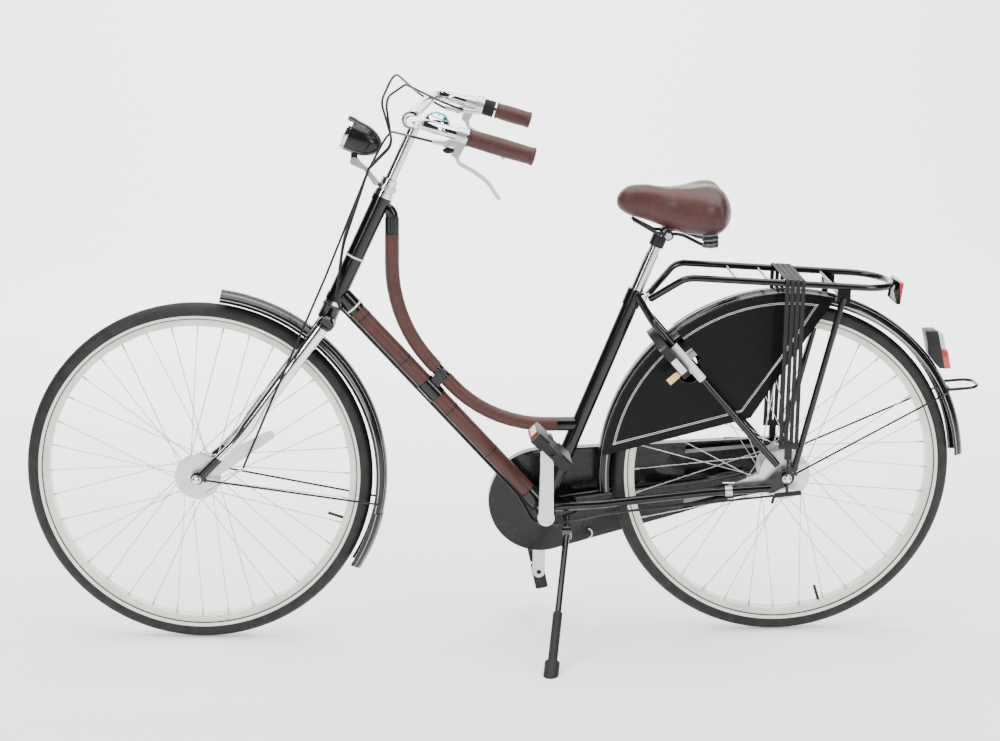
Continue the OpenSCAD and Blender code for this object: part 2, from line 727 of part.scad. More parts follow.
module brake(hub, inner, outer, r, arm_to, arm_in, arm_out, bore) {
    difference() {
        union() {
            disc_y(hub, r, inner, outer);
            for (i = [1 : 2 : 5]) disc_y(hub, r + 4, inner + i * 1.2, inner + i * 1.2 + 0.8);
            upright(arm_in, arm_out) belt([hub.x, hub.z], 22, [arm_to.x, arm_to.z], 9);
        }
        disc_y(hub, bore, -200, 200);
    }
}
module rear_brake() {
    clip = bb + [372, 0, 46];
    stay_from = bb + [322, -53, 44];
    band_dir = unit(stay_low + [0, -stay_y, 0] - stay_from);
    band = stay_from + band_dir * (clip.x - stay_from.x) / band_dir.x;
    color("silver") standing() {
        brake(rear_hub, -50, -36, 48, clip, -47.6, -44, rear_axle_r);
        difference() {
            disc_y(rear_hub, 12, -stay_y + 2.8, -50);
            disc_y(rear_hub, rear_axle_r, -100, 0);
        }
        difference() {
            rod(band - band_dir * 7, band + band_dir * 7, 11);
            rod(band - band_dir * 20, band + band_dir * 20, 9.1);
        }
    }
}
module gear_adjuster() {
    color("dimgray") standing() {
        rod(rear_hub + [-24, -stay_y - 9, -36], rear_hub + [30, -stay_y - 9, -30], 5);
        rod(rear_hub + [-24, -stay_y - 9, -36], rear_hub + [-28, -stay_y - 9, -52], 3);
        rod(rear_hub + [2, -stay_y - 9, -30], rear_hub + [0, -stay_y - 9, -9.9], 3);
    }
}
cable_r = 2.4;
module frame_cables() {
    up = unit(down_top - bb);
    start = down_top - up * 40 + [-14, -9, -14];
    color("#151517") standing() {
        bent([start, bb + unit(down_top - bb) * 60 + [-14, -9, -14], bb + [-20, -16, -30],
            bb + [24, -40, -24], bb + [120, -56, 2], bb + [322, -68, 26], rear_hub + [-25.4,
                -stay_y - 9, -36]],
            [60, 20, 20, 80, 160], cable_r, 8, [0.1, 0, 1], 3);
        bent([start + [0, 18, 0], bb + unit(down_top - bb) * 60 + [-14, 9, -14], bb + [-20, 2, -30],
            bb + [24, -30, -30], bb + [120, -42, -4], bb + [322, -52, 24], rear_hub + [-48, -46, -37]],
            [60, 20, 20, 80, 160], cable_r, 8, [0.1, 0, 1], 3);
        for (q = [70, 190, 330]) difference() {
            rod(down_top - up * q, down_top - up * (q + 6), down_r + wrap_t + 2.5);
            rod(down_top, bb, down_r + wrap_t + 0.1);
        }
    }
}
module crossing_cables() {
    end = down_top - unit(down_top - bb) * 40 + [-14, 0, -14];
    color("#151517") standing() for (side = [-1, 1])
        bent([turned(on_head(head_top_t + 60) + [-52, side * 18, -1]), on_head(head_low_t + 130)
            + [-36, side * 25, 0],
            on_head(head_low_t + 10) + [-2, side * 29, 0], end + [-8, side * 14, 9], end + [-0.4,
                side * 9, 0.6]],
            [160, 30, 8], cable_r, 8, [0, 1, 0], 4);
}

// ---- saddle ---------------------------------------------------------------------

module seatpost() {
    color("silver") standing() {
        rod(seat_top - 110 * seat_dir, post_top - 40 * seat_dir, post_r);
        rod(post_top - 45 * seat_dir, post_top, 11);
    }
}
rail_mid = post_top + [8, 0, 2];
module saddle_frame() {
    color("#18181a") standing() {
        difference() {
            union() {
                rod(post_top - 26 * seat_dir, post_top - 3 * seat_dir, 15);
                rod(rail_mid + [3, -27, 0], rail_mid + [3, 27, 0], 11);
            }
            rod(post_top - 60 * seat_dir, post_top + 20 * seat_dir, 11.05);
        }
        for (side = [-1, 1]) {
            bent([rail_mid + [-66, side * 9, 29.6], rail_mid + [-20, side * 21, 4], rail_mid + [30,
                side * 24, 2],
                rail_mid + [66, side * 42, -14], rail_mid + [86, side * 46, -17]], [20, 40, 20],
                    3.5, 8, [0, 0.3, 1], 3);
            for (k = [0 : 3]) translate(rail_mid + [84, side * 46, -14 + k * 8])
                rotate_extrude() translate([13, 0]) circle(r = 2.6, $fn = coarse);
            rod(rail_mid + [84, side * 46, -15], rail_mid + [84, side * 46, 17.6], 11.6);
        }
    }
}
// The padded top: a nose, a waist and two seat lobes.
module saddle() {
    s = post_top;
    color("#4a2a22") standing() {
        hull() {
            translate(s + [-82, 0, 63]) sphere(r = 22, $fn = 28);
            translate(s + [-50, 0, 66]) sphere(r = 30, $fn = 28);
            translate(s + [-80, -14, 52]) sphere(r = 12, $fn = 20);
            translate(s + [-80, 14, 52]) sphere(r = 12, $fn = 20);
            for (side = [-1, 1]) translate(s + [34, side * 34, 54]) sphere(r = 34, $fn = 28);
            for (side = [-1, 1]) translate(s + [98, side * 62, 58]) sphere(r = 38, $fn = 28);
            for (side = [-1, 1]) translate(s + [90, side * 74, 48]) sphere(r = 27, $fn = 28);
        }
    }
}

// ---- steering ----------------------------------------------------------------------

crown = on_head(crown_t + 4);
module fork() {
    end_y = front_old / 2 + 2.5;
    color("silver") steered() {
        rod(on_head(crown_t), on_head(nut_t - 6), 12.7);
        difference() {
            rod(on_head(crown_t + 2), on_head(head_low_t - 12), head_r + 1);
        }
        rod(crown + [0, -40, -8], crown + [0, 40, -8], 15);
        difference() {
            union() {
                for (side = [-1, 1]) bent([crown + [-4, side * 36, -10], front_hub + [88,
                    side * 50, 86],
                    front_hub + [10, side * (end_y + 1.5), 6]], [300], 9, 16, [0, 1, 0], 5);
                for (side = [-1, 1]) disc_y(front_hub, 13, side * end_y - 2.5, side * end_y + 2.5);
            }
            disc_y(front_hub, front_axle_r + 0.1, -200, 200);
            disc_y(front_hub, 60, -front_old / 2, front_old / 2);
            for (side = [-1, 1]) disc_y(front_hub, 18, side * (end_y + 7.6) - 5, side * (end_y
                + 7.6) + 5);
        }
    }
}
module stem() {
    color("silver") steered() {
        difference() {
            rod(on_head(head_top_t + 11.3), on_head(nut_t), head_r - 1);
            rod(on_head(head_top_t), on_head(nut_t + 1), 12.7);
        }
        difference() {
            union() {
                rod(on_head(nut_t + 0.2), on_head(stem_t), 11.1);
                rod(bar_mid + [0, -21, 0], bar_mid + [0, 21, 0], 17.5);
                rod(on_head(stem_t), bar_mid, 13);
            }
            disc_y(bar_mid, 12.7, -40, 40);
        }
        rod(bar_mid + [22, 0, -8], bar_mid + [17, 0, -14], 4);
    }
}
bar_knee = bar_mid + [40, 0, 22];
module bar_line(r) {
    y = grip_y;
    bent([grip_end + [0, -y, 0], bar_knee + [0, -y, 0], bar_mid + [0, -34, 0], bar_mid + [0, 34, 0],
        bar_knee + [0, y, 0], grip_end + [0, y, 0]], [58, 120, 120, 58], r, 16, [0, 0, 1], 7);
}
module handlebar() {
    color("silver") steered() {
        bar_line(11.1);
        rod(bar_mid + [0, -28, 0], bar_mid + [0, 28, 0], 12.7);
    }
}
bar_back = unit(grip_end - bar_knee);
function on_grip(d, side) = grip_end + [0, side * grip_y, 0] - bar_back * d;
module sleeve(side, d0, d1, r) {
    difference() {
        rod(on_grip(d0, side), on_grip(d1, side), r);
        rod(on_grip(d0 - 1, side), on_grip(d1 + 1, side), 11.15);
    }
}
module grips() {
    color("#4a2a22") steered() {
        for (q = [[-1, 124], [1, 72]]) {
            sleeve(q[0], 0, q[1], grip_r);
            rod(on_grip(-0.1, q[0]), on_grip(-3, q[0]), grip_r);
        }
    }
}
lever_pin = [-4, 0, -32];
function pin_at(side) = on_grip(side < 0 ? 142 : 132, side) + lever_pin;
module brake_perches() {
    color("silver") steered() {
        for (side = [-1, 1]) {
            d = side < 0 ? 126 : 116;
            spot = on_grip(d + 10, side);
            pin = pin_at(side);
            sleeve(side, d, d + 20, 15);
            difference() {
                union() {
                    for (y = [-9, 5]) upright(pin.y + y, pin.y + y + 4)
                        belt([pin.x, pin.z], 9, [spot.x, spot.z - 10], 10);
                    upright(pin.y - 9, pin.y + 9) belt([pin.x - 18, pin.z + 15], 6, [spot.x,
                        spot.z - 9], 7);
                }
                rod(on_grip(d - 8, side), on_grip(d + 40, side), 14.9);
                disc_y(pin, 3 + run, pin.y - 20, pin.y + 20);
            }
            rod(pin + [-18, 0, 15], pin + [-44, 0, 19], 5);
        }
    }
    color("#18181a") steered() {
        difference() {
            rod(on_grip(99.6, 1), on_grip(115.4, 1), 19);
            rod(on_grip(90, 1), on_grip(120, 1), 11.15);
        }
        rod(on_grip(107, 1) + [-4, -14, -12], on_grip(107, 1) + [-34, -18, -8], 5);
    }
}
module shifter_ring() {
    color("#202022") steered() difference() {
        rod(on_grip(75.6, 1), on_grip(99.2, 1), 17);
        rod(on_grip(70, 1), on_grip(104, 1), 11.15 + run);
    }
}
module lever(side) {
    pin = pin_at(side);
    color("silver") steered() difference() {
        union() {
            disc_y(pin, 7.5, pin.y - 4.6, pin.y + 4.6);
            disc_y(pin, 3, pin.y - 10, pin.y + 10);
            bent([pin, pin + [4, 0, -20], pin + [30, 0, -34], pin + [58, 0, -54], pin + [80, 0, -86]],
                [14, 60, 50], 4.2, 10, [0, 1, 0], 4);
        }
    }
}
module left_brake_lever() { lever(-1); }
module right_brake_lever() { lever(1); }
bell_at = bar_mid + [54, -100, 6];
bell_up = unit([0.35, 0, 0.94]);
bell_out = [bell_up.z, 0, -bell_up.x];
module bell() {
    color("silver") steered() {
        difference() {
            union() {
                along(bell_at - bell_up * 12, bell_up) cylinder(r = 26, h = 4);
                rod(bell_at - bell_up * 9, bar_mid + [13, -112, 7], 7);
            }
            bar_line(11.15);
        }
        rod(bell_at + bell_out * 16 - bell_up * 10, bell_at + bell_out * 16 - bell_up * 19, 2.6);
        along(bell_at - bell_up * 7.8, bell_up) difference() {
            intersection() {
                sphere(r = 28, $fn = fine);
                cylinder(r = 40, h = 40);
            }
            sphere(r = 26.2, $fn = fine);
        }
        rod(bell_at - bell_up * 8.2, bell_at + bell_up * 18.3, 3);
    }
}
module bell_thumb() {
    color("silver") steered() along(bell_at + bell_out * 16 - bell_up * 17.6, bell_up) difference() {
        union() {
            cylinder(r = 6, h = 5);
            translate([0, -4, 0]) cube([26, 8, 3]);
            translate([22, -7, 0]) cube([6, 14, 9]);
        }
        translate([0, 0, -1]) cylinder(r = 2.6 + run, h = 30);
    }
}
lamp_pin = on_head(head_top_t) + [-56, 0, 69];
lamp_dir = unit([-0.92, 0, 0.40]);
module headlight_bracket() {
    low = on_head(head_top_t + 20);
    tip = [lamp_pin.x + 22, lamp_pin.z - 14];
    color("silver") steered() {
        difference() {
            union() {
                rod(on_head(head_top_t + 16), on_head(head_top_t + 24), 21);
                upright(-9, 9) difference() {
                    belt([low.x - 22, low.z + 10], 6, tip, 4);
                }
                upright(-9, 9) belt([lamp_pin.x + 22, lamp_pin.z - 14], 4, [lamp_pin.x, lamp_pin.z], 8);
            }
            rod(on_head(head_top_t), on_head(nut_t + 30), head_r - 0.95);
            translate([lamp_pin.x - 12, -5, lamp_pin.z - 12]) cube([24, 10, 24]);
            disc_y(lamp_pin, 3 + run, -30, 30);
        }
    }
}
module headlight() {
    back = lamp_pin + [18, 0, 40] - lamp_dir * 36;
    color("#18181a") steered() {
        difference() {
            union() {
                along(back, lamp_dir) {
                    translate([0, 0, 12]) cylinder(r1 = 18, r2 = 31, h = 30, $fn = fine);
                    translate([0, 0, 41.9]) cylinder(r = 31, h = 32, $fn = fine);
                    translate([0, 0, 14]) sphere(r = 19, $fn = fine);
                }
                translate([lamp_pin.x - 7, -4.6, lamp_pin.z - 7]) cube([14, 9.2, 34]);
            }
            along(back, lamp_dir) translate([0, 0, 40]) cylinder(r = 28, h = 60, $fn = fine);
        }
        disc_y(lamp_pin, 3, -11, 11);
    }
    color("white") steered() along(back, lamp_dir) translate([0, 0, 66]) cylinder(r = 28, h = 6,
        $fn = fine);
}
module front_brake() {
    clip = front_hub + [146, 0, 88];
    color("silver") steered() {
        brake(front_hub, -42.5, -34, 42, clip, -42.5, -38.6, front_axle_r);
        difference() {
            disc_y(front_hub, 11, -front_old / 2, -42.5);
            disc_y(front_hub, front_axle_r, -100, 0);
        }
        rod(front_hub + [92, -44.4, 20], front_hub + [16, -44.4, -34], 2);
    }
}
module front_brake_cable() {
    left = pin_at(-1) + [-44, 0, 19];
    right = pin_at(1) + [-44, 0, 19];
    gear = on_grip(107, 1) + [-34, -18, -8];
    hang = on_head(head_top_t + 60);
    color("#151517") steered() {
        bent([left, left + [-40, 40, 4], bar_mid + [-40, -64, -16], hang + [-52, -40, 0],
            on_head(head_low_t + 60) + [-40, -44, 0], front_hub + [150, -72, 160], front_hub + [92,
                -46.8, 22]],
            [30, 60, 60, 120, 120, 60], cable_r, 8, [0.2, 1, 0.3], 3);
        bent([right, right + [-50, -30, 30], bar_mid + [-36, 70, 84], bar_mid + [-60, 24, 30],
            bar_mid + [-36, 17, -50], hang + [-52, 18, 0.3]], [40, 50, 30, 30], cable_r, 8, [0.2,
                1, 0.3], 4);
        bent([gear, gear + [-44, -30, 20], bar_mid + [-14, 70, 60], bar_mid + [-50, -10, 40],
            bar_mid + [-36, -17, -50], hang + [-52, -18, 0.3]], [30, 40, 30, 30], cable_r, 8, [0.2,
                1, 0.3], 4);
    }
}

head_tube();
top_tube();
down_tube();
seat_tube();
chain_stays();
seat_stays();
tube_wraps();
headset_cups();
rear_mudguard();
rear_mudguard_stays();
rack();
rack_straps();
rack_reflector();
rear_light();
coat_guards();
chaincase();
chain();
kickstand_bracket();
lock_body();
rear_axle();
rear_brake();
gear_adjuster();
frame_cables();
crossing_cables();
seatpost();
saddle_frame();
saddle();
fork();
stem();
handlebar();
grips();
brake_perches();
bell();
headlight_bracket();
front_mudguard();
front_mudguard_stays();
front_brake();
front_axle();
front_brake_cable();
left_brake_lever();
right_brake_lever();
shifter_ring();
bell_thumb();
headlight();
front_tyre();
front_rim();
front_spokes();
front_hub_shell();
rear_tyre();
rear_rim();
rear_spokes();
rear_hub_shell();
rear_sprocket();
crankset();
chainring();
left_pedal();
right_pedal();
kickstand_leg();
kickstand_foot();
lock_bow();
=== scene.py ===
# %% [markdown]
# # A city bicycle on its side stand
# This script dresses the CAD model of a step-through city bicycle. Each cell adds
# a finish or a finer piece, and says why it was made that way.
# %% Load the CAD model
import json
import math
import bpy
import bmesh
from mathutils import Matrix, Vector


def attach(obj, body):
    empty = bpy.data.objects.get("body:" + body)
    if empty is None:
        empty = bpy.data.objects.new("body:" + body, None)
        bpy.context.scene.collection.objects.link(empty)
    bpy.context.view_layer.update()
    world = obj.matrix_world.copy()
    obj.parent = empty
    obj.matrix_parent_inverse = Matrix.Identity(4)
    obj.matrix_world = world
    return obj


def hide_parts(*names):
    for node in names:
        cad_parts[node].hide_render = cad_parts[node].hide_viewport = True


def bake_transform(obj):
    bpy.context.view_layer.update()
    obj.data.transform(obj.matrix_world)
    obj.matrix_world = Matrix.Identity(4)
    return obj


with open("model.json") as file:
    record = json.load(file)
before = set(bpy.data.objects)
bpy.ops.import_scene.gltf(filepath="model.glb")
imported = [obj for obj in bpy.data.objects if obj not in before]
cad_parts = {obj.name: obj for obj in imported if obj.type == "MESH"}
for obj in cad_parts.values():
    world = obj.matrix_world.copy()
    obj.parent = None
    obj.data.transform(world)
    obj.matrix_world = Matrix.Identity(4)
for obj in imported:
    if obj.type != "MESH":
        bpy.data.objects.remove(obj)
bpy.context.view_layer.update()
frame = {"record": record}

# %% [markdown]
# The bicycle leans four degrees onto its stand and its front wheel is turned a little.
# Every measurement is easier on an upright bicycle, so two small functions carry a
# point from the upright bicycle, in millimetres, to its real place in metres.
# %% Two frames of reference
HEAD_ANGLE, LEAN, STEER = math.radians(65.5), math.radians(4.0), math.radians(-4.35)
WHEEL_R, GUARD_R, GUARD_MID = 348.0, 378.0, 350.0
FRONT_HUB, REAR_HUB = Vector((-590.5, 0, 348)), Vector((590.5, 0, 348))
BB = Vector((104.1, 0, 269.4))
STEER_AXIS = Vector((math.cos(HEAD_ANGLE), 0, math.sin(HEAD_ANGLE)))
STEER_FOOT = FRONT_HUB + 101 * Vector((math.sin(HEAD_ANGLE), 0, -math.cos(HEAD_ANGLE)))
MM = Matrix.Scale(0.001, 4)
TYRE_BASE = Matrix.Translation((0, 0, 18.5))
STANDING = MM @ TYRE_BASE @ Matrix.Rotation(LEAN, 4, "X") @ TYRE_BASE.inverted()
STEERED = (STANDING @ Matrix.Translation(STEER_FOOT)
           @ Matrix.Rotation(STEER, 4, STEER_AXIS) @ Matrix.Translation(-STEER_FOOT))


def on_head(t):
    """A point of the steering axis, t millimetres from its foot."""
    return STEER_FOOT + t * STEER_AXIS


def polar(hub, radius, degrees, y=0.0):
    """A point round a hub of the upright bicycle."""
    a = math.radians(degrees)
    return hub + Vector((radius * math.cos(a), y, radius * math.sin(a)))


LOCK_ANGLE = 131.5
LOCK_AT = polar(REAR_HUB, 336, LOCK_ANGLE)
SEAT_DIR = Vector((math.cos(math.radians(68.3)), 0, math.sin(math.radians(68.3))))
SEAT_TOP = BB + 488 * SEAT_DIR
POST_TOP = SEAT_TOP + 122 * SEAT_DIR
CROWN_T = math.sqrt(408 ** 2 - 101 ** 2)
HEAD_LOW_T = CROWN_T + 41
HEAD_TOP_T = HEAD_LOW_T + 230
BAR_MID = on_head(HEAD_TOP_T + 154) + Vector((-9, 0, 12))
GRIP_END = BAR_MID + Vector((234, 0, -33))
BAR_KNEE = BAR_MID + Vector((40, 0, 22))
BAR_BACK = (GRIP_END - BAR_KNEE).normalized()
print("saddle post top", [round(c) for c in POST_TOP], "bar middle", [round(c) for c in BAR_MID])

# %% [markdown]
# The camera stands about four and a half metres to the left of the bicycle, a little
# above saddle height, and looks slightly down and towards the front wheel.
# %% Camera
yaw, pitch, roll = 0.0708, -0.1886, 0.0080
look = Vector((math.sin(yaw) * math.cos(pitch), math.cos(yaw) * math.cos(pitch), math.sin(pitch)))
side = Vector((math.cos(yaw), -math.sin(yaw), 0))
over = side.cross(look)
right_way = side * math.cos(roll) + over * math.sin(roll)
up_way = over * math.cos(roll) - side * math.sin(roll)
camera = bpy.data.objects.new("camera", bpy.data.cameras.new("camera"))
camera.data.lens, camera.data.sensor_width = 80.82, 36.0
turn = Matrix((right_way, up_way, -look)).transposed().to_4x4()
camera.matrix_world = Matrix.Translation((-0.3010, -4.4579, 1.4017)) @ turn
bpy.context.scene.collection.objects.link(camera)
bpy.context.scene.camera = camera
print("lens", camera.data.lens)

# %% [markdown]
# A finish is a node tree.  Written as links it is hard to read, so `Value` wraps one
# socket and lets Python's own operators add the Math nodes, and `Finish` holds the
# material with one method, `node`, that adds a node of any other type.
# %% Shader helpers
class Value:
    """A number or colour that flows out of a node."""

    def __init__(self, finish, socket):
        self.finish, self.socket = finish, socket

    def maths(self, operation, other, swapped=False):
        pair = [other, self] if swapped else [self, other]
        return self.finish.node("Math", {"operation": operation}, pair)

    def __add__(self, other):
        return self.maths("ADD", other)

    def __sub__(self, other):
        return self.maths("SUBTRACT", other)

    def __rsub__(self, other):
        return self.maths("SUBTRACT", other, True)

    def __mul__(self, other):
        return self.maths("MULTIPLY", other)

    def __truediv__(self, other):
        return self.maths("DIVIDE", other)

    def __abs__(self):
        return self.finish.node("Math", {"operation": "ABSOLUTE"}, [self])

    def above(self, edge, soft):
        """0 below the edge, 1 above it, with a soft step between."""
        return self.finish.node("MapRange", {"interpolation_type": "SMOOTHSTEP"},
                                {"Value": self, "From Min": edge - soft, "From Max": edge + soft})

    def between(self, low, high, soft):
        return self.above(low, soft) * (1 - self.above(high, soft))


for name in ("add", "mul"):
    setattr(Value, f"__r{name}__", getattr(Value, f"__{name}__"))


class Finish:
    """A material built round one Principled shader."""

    def __init__(self, name, colour, roughness=0.4, metallic=0.0, **extra):
        self.material = bpy.data.materials.new(name)
        self.material.use_nodes = True
        self.tree = self.material.node_tree
        self.shader = self.tree.nodes["Principled BSDF"]
        self.put("Base Color", (*colour, 1.0))
        self.put("Roughness", roughness)
        self.put("Metallic", metallic)
        for key, value in extra.items():
            self.put(key.replace("_", " "), value)

    def put(self, key, value):
        socket = self.shader.inputs[key]
        if isinstance(value, Value):
            self.tree.links.new(value.socket, socket)
        else:
            socket.default_value = value

    def node(self, kind, settings=None, inputs=None, output=0):
        made = self.tree.nodes.new("ShaderNode" + kind)
        for key, value in (settings or {}).items():
            setattr(made, key, value)
        pairs = enumerate(inputs or []) if not isinstance(inputs, dict) else inputs.items()
        for key, value in pairs:
            if isinstance(value, Value):
                self.tree.links.new(value.socket, made.inputs[key])
            else:
                made.inputs[key].default_value = value
        return Value(self, made.outputs[output])

    def place(self, matrix=None):
        """Object coordinates, or those of the upright bicycle in millimetres."""
        here = self.node("TexCoord", output="Object")
        if matrix is None:
            return here
        back = matrix.inverted()
        spot, turned, size = back.decompose()
        return self.node("Mapping", {"vector_type": "POINT"}, {
            "Vector": here, "Location": spot, "Rotation": turned.to_euler("XYZ"), "Scale": size})

    def split(self, vector):
        return [self.node("SeparateXYZ", None, [vector], axis) for axis in range(3)]

    def noise(self, scale, detail=3.0, vector=None):
        return self.node("TexNoise", None, {"Vector": vector or self.place(), "Scale": scale,
                                            "Detail": detail})

    def mix(self, factor, first, second):
        first, second = [(*c, 1.0) if isinstance(c, tuple) and len(c) == 3 else c for c in (first, second)]
        made = self.tree.nodes.new("ShaderNodeMix")
        made.data_type = "RGBA"
        for key, value in ((0, factor), (6, first), (7, second)):
            if isinstance(value, Value):
                self.tree.links.new(value.socket, made.inputs[key])
            else:
                made.inputs[key].default_value = value
        return Value(self, made.outputs[2])

    def bump(self, height, depth, strength=1.0):
        self.put("Normal", self.node("Bump", None, {"Height": height, "Distance": depth,
                                                    "Strength": strength}))

    def ring(self, hub, matrix):
        """Radius, angle and sideways place round a hub, in millimetres."""
        x, y, z = self.split(self.place(matrix))
        x, z = x - hub.x, z - hub.z
        radius = self.node("Math", {"operation": "SQRT"}, [x * x + z * z])
        return radius, self.node("Math", {"operation": "ARCTAN2"}, [z, x]), y


print("helpers ready")

# %% [markdown]
# The hard finishes: black enamel under a clear coat, chrome with faint smudges, drawn
# steel, satin alloy, moulded plastics and rubber.  None of them is one flat colour: a
# noise moves the roughness or the tone a little, as fingers, dust and wear do.
# %% Hard finishes
def enamel(name, colour=(0.003, 0.003, 0.0034), roughness=0.16, shine=0.25):
    f = Finish(name, colour, roughness, 0.0, Coat_Weight=shine, Coat_Roughness=0.05,
               Specular_IOR_Level=shine + 0.05)
    dust = f.noise(22.0, 5.0)
    f.put("Roughness", dust * 0.16 + (roughness - 0.05))
    f.put("Base Color", f.mix(dust.above(0.62, 0.16) * 0.3, colour, (0.012, 0.0115, 0.011)))
    f.bump(f.noise(420.0, 1.0), 0.00004)
    return f


def metal(name, colour, roughness, grain=0.12, fine=60.0, depth=0.00003):
    f = Finish(name, colour, roughness, 1.0)
    smudge = f.noise(fine, 4.0)
    f.put("Roughness", smudge * grain + (roughness - grain * 0.4))
    f.put("Base Color", f.mix(f.noise(fine * 0.4, 4.0).above(0.6, 0.15) * 0.3, colour,
                              tuple(c * 0.72 for c in colour)))
    f.bump(f.noise(fine * 9, 2.0), depth)
    return f


def plastic(name, colour, roughness=0.42, grain=900.0, depth=0.00005):
    f = Finish(name, colour, roughness, Specular_IOR_Level=0.3)
    worn = f.noise(34.0, 4.0)
    f.put("Roughness", worn * 0.2 + (roughness - 0.1))
    f.put("Base Color", f.mix(worn.above(0.58, 0.14) * 0.4, colour, tuple(c * 1.5 + 0.005 for c in colour)))
    f.bump(f.noise(grain, 2.0), depth)
    return f


ENAMEL = enamel("black_enamel")
CHROME = metal("chrome", (0.72, 0.72, 0.73), 0.07, 0.06, 26.0, 0.00001)
STEEL = metal("bright_steel", (0.60, 0.60, 0.61), 0.24, 0.16)
ALLOY = metal("alloy", (0.66, 0.67, 0.68), 0.36, 0.16, 90.0, 0.00006)
DARK_STEEL = metal("dark_steel", (0.17, 0.17, 0.175), 0.38, 0.2, 80.0, 0.00006)
BRASS = metal("brass", (0.72, 0.52, 0.22), 0.28, 0.14)
BLACK_PLASTIC = plastic("black_plastic", (0.008, 0.008, 0.0085))
GLOSS_PLASTIC = plastic("gloss_black_plastic", (0.007, 0.007, 0.0075), 0.2, 300.0, 0.00003)
RUBBER = plastic("black_rubber", (0.010, 0.010, 0.0105), 0.62, 1400.0, 0.00012)
CABLE = plastic("cable_cover", (0.007, 0.007, 0.0075), 0.4, 1200.0, 0.00003)
WHITE_PLASTIC = plastic("white_plastic", (0.74, 0.73, 0.70), 0.38)
print("hard finishes:", len(bpy.data.materials))

# %% [markdown]
# Reflectors are clear plastic with hundreds of small prisms behind a smooth face.  A
# checker of the two diagonal directions bends the normal, so the lens glints in cells.
# The same checker paints the prism troughs darker, a painted shade, and the red and
# orange lenses get a faint painted glow of their own colour.
# %% Reflector lenses
def prism_lens(name, colour, cell, light=0.0):
    f = Finish(name, colour, 0.14, 0.0, Coat_Weight=1.0, Coat_Roughness=0.03)
    x, y, z = f.split(f.place())
    waves = [f.node("Math", {"operation": "PINGPONG"}, [v, cell]) for v in (x + y, z * 1.0 + y, x - z)]
    height = (waves[0] + waves[1] + waves[2]) / cell
    # The base colour is darker where the prisms are low: painted shade in the prism troughs.
    f.put("Base Color", f.mix(height * 0.3, tuple(c * 0.45 for c in colour), colour))
    # light is a faint emission in the lens's own colour: a painted glow.
    if light:
        f.put("Emission Color", (*colour, 1.0))
        f.put("Emission Strength", light)
    f.bump(height, 0.0005)
    return f


# The red and orange lenses get a small painted glow; the clear lens gets none.
RED_LENS = prism_lens("red_lens", (0.62, 0.012, 0.010), 0.0016, 0.10)
ORANGE_LENS = prism_lens("orange_lens", (0.85, 0.13, 0.004), 0.0014, 0.12)
CLEAR_LENS = prism_lens("clear_lens", (0.82, 0.83, 0.84), 0.0022)
print("lenses ready")

# %% [markdown]
# Tyres carry a pale reflective band on the side wall and a block tread on top.  Both
# are set out round the hub: the radius picks the band, and the angle round the wheel
# repeats the tread.  The rims are cream enamel with a faint brushed line.
# %% Tyres and rims
def tyre_finish(name, hub, matrix):
    f = Finish(name, (0.018, 0.018, 0.019), 0.6, Specular_IOR_Level=0.3)
    radius, angle, y = f.ring(hub, matrix)
    band = radius.between(317.6, 323.4, 0.5)
    dirt = f.noise(40.0, 5.0)
    black = f.mix(dirt.above(0.5, 0.2) * 0.5, (0.010, 0.010, 0.0105), (0.028, 0.026, 0.024))
    white = f.mix(dirt * 0.5, (0.80, 0.80, 0.77), (0.55, 0.54, 0.50))
    f.put("Base Color", f.mix(band, black, white))
    f.put("Roughness", 0.62 - band * 0.25)
    block = f.node("Math", {"operation": "PINGPONG"}, [angle * WHEEL_R + abs(y) * 0.8, 5.0])
    rib = f.node("Math", {"operation": "PINGPONG"}, [y, 3.2])
    tread = radius.above(339.5, 0.8) * (block.above(1.1, 0.3) * rib.above(0.6, 0.25))
    lines = f.node("Math", {"operation": "PINGPONG"}, [radius, 1.3]) * (1 - radius.above(338.0, 0.5))
    f.bump(tread * 1.4 + lines * 0.12, 0.001)
    return f


def rim_finish(name, hub, matrix):
    f = Finish(name, (0.74, 0.71, 0.60), 0.28, 0.0, Coat_Weight=0.4, Coat_Roughness=0.08)
    radius, angle, y = f.ring(hub, matrix)
    grime = f.noise(16.0, 5.0)
    # The rim is also made darker towards its outer edge by the tyre and towards its inner edge.
    edge = radius.above(313.2, 0.4) + (1 - radius.above(303.4, 0.5)) * 0.6
    f.put("Base Color", f.mix(grime.above(0.55, 0.2) * 0.35 + edge * 0.3,
                              (0.76, 0.73, 0.62), (0.36, 0.33, 0.27)))
    f.put("Roughness", grime * 0.2 + 0.18)
    f.bump(f.node("Math", {"operation": "PINGPONG"}, [radius, 1.1]), 0.00006)
    return f


TYRES = {"front": tyre_finish("front_tyre_rubber", FRONT_HUB, STEERED),
         "rear": tyre_finish("rear_tyre_rubber", REAR_HUB, STANDING)}
RIMS = {"front": rim_finish("front_rim_cream", FRONT_HUB, STEERED),
        "rear": rim_finish("rear_rim_cream", REAR_HUB, STANDING)}
print("wheel finishes ready")

# %% [markdown]
# The mudguards and coat guards are black with thin white lining, two lines side by
# side near each edge.  The lining follows the edge, so it is set out by the sideways
# place on a mudguard, and by the distance from the outline on a coat guard.
# %% Lined black
LINING = (0.78, 0.77, 0.74)


def lined_guard(name, hub, matrix):
    f = enamel(name)
    radius, angle, y = f.ring(hub, matrix)
    lines = abs(y).between(16.0, 16.7, 0.2) + abs(y).between(25.0, 25.6, 0.2)
    lines = lines * radius.above(GUARD_MID + 8, 0.4)
    f.put("Base Color", f.mix(lines * 0.55, (0.006, 0.006, 0.0065), LINING))
    return f


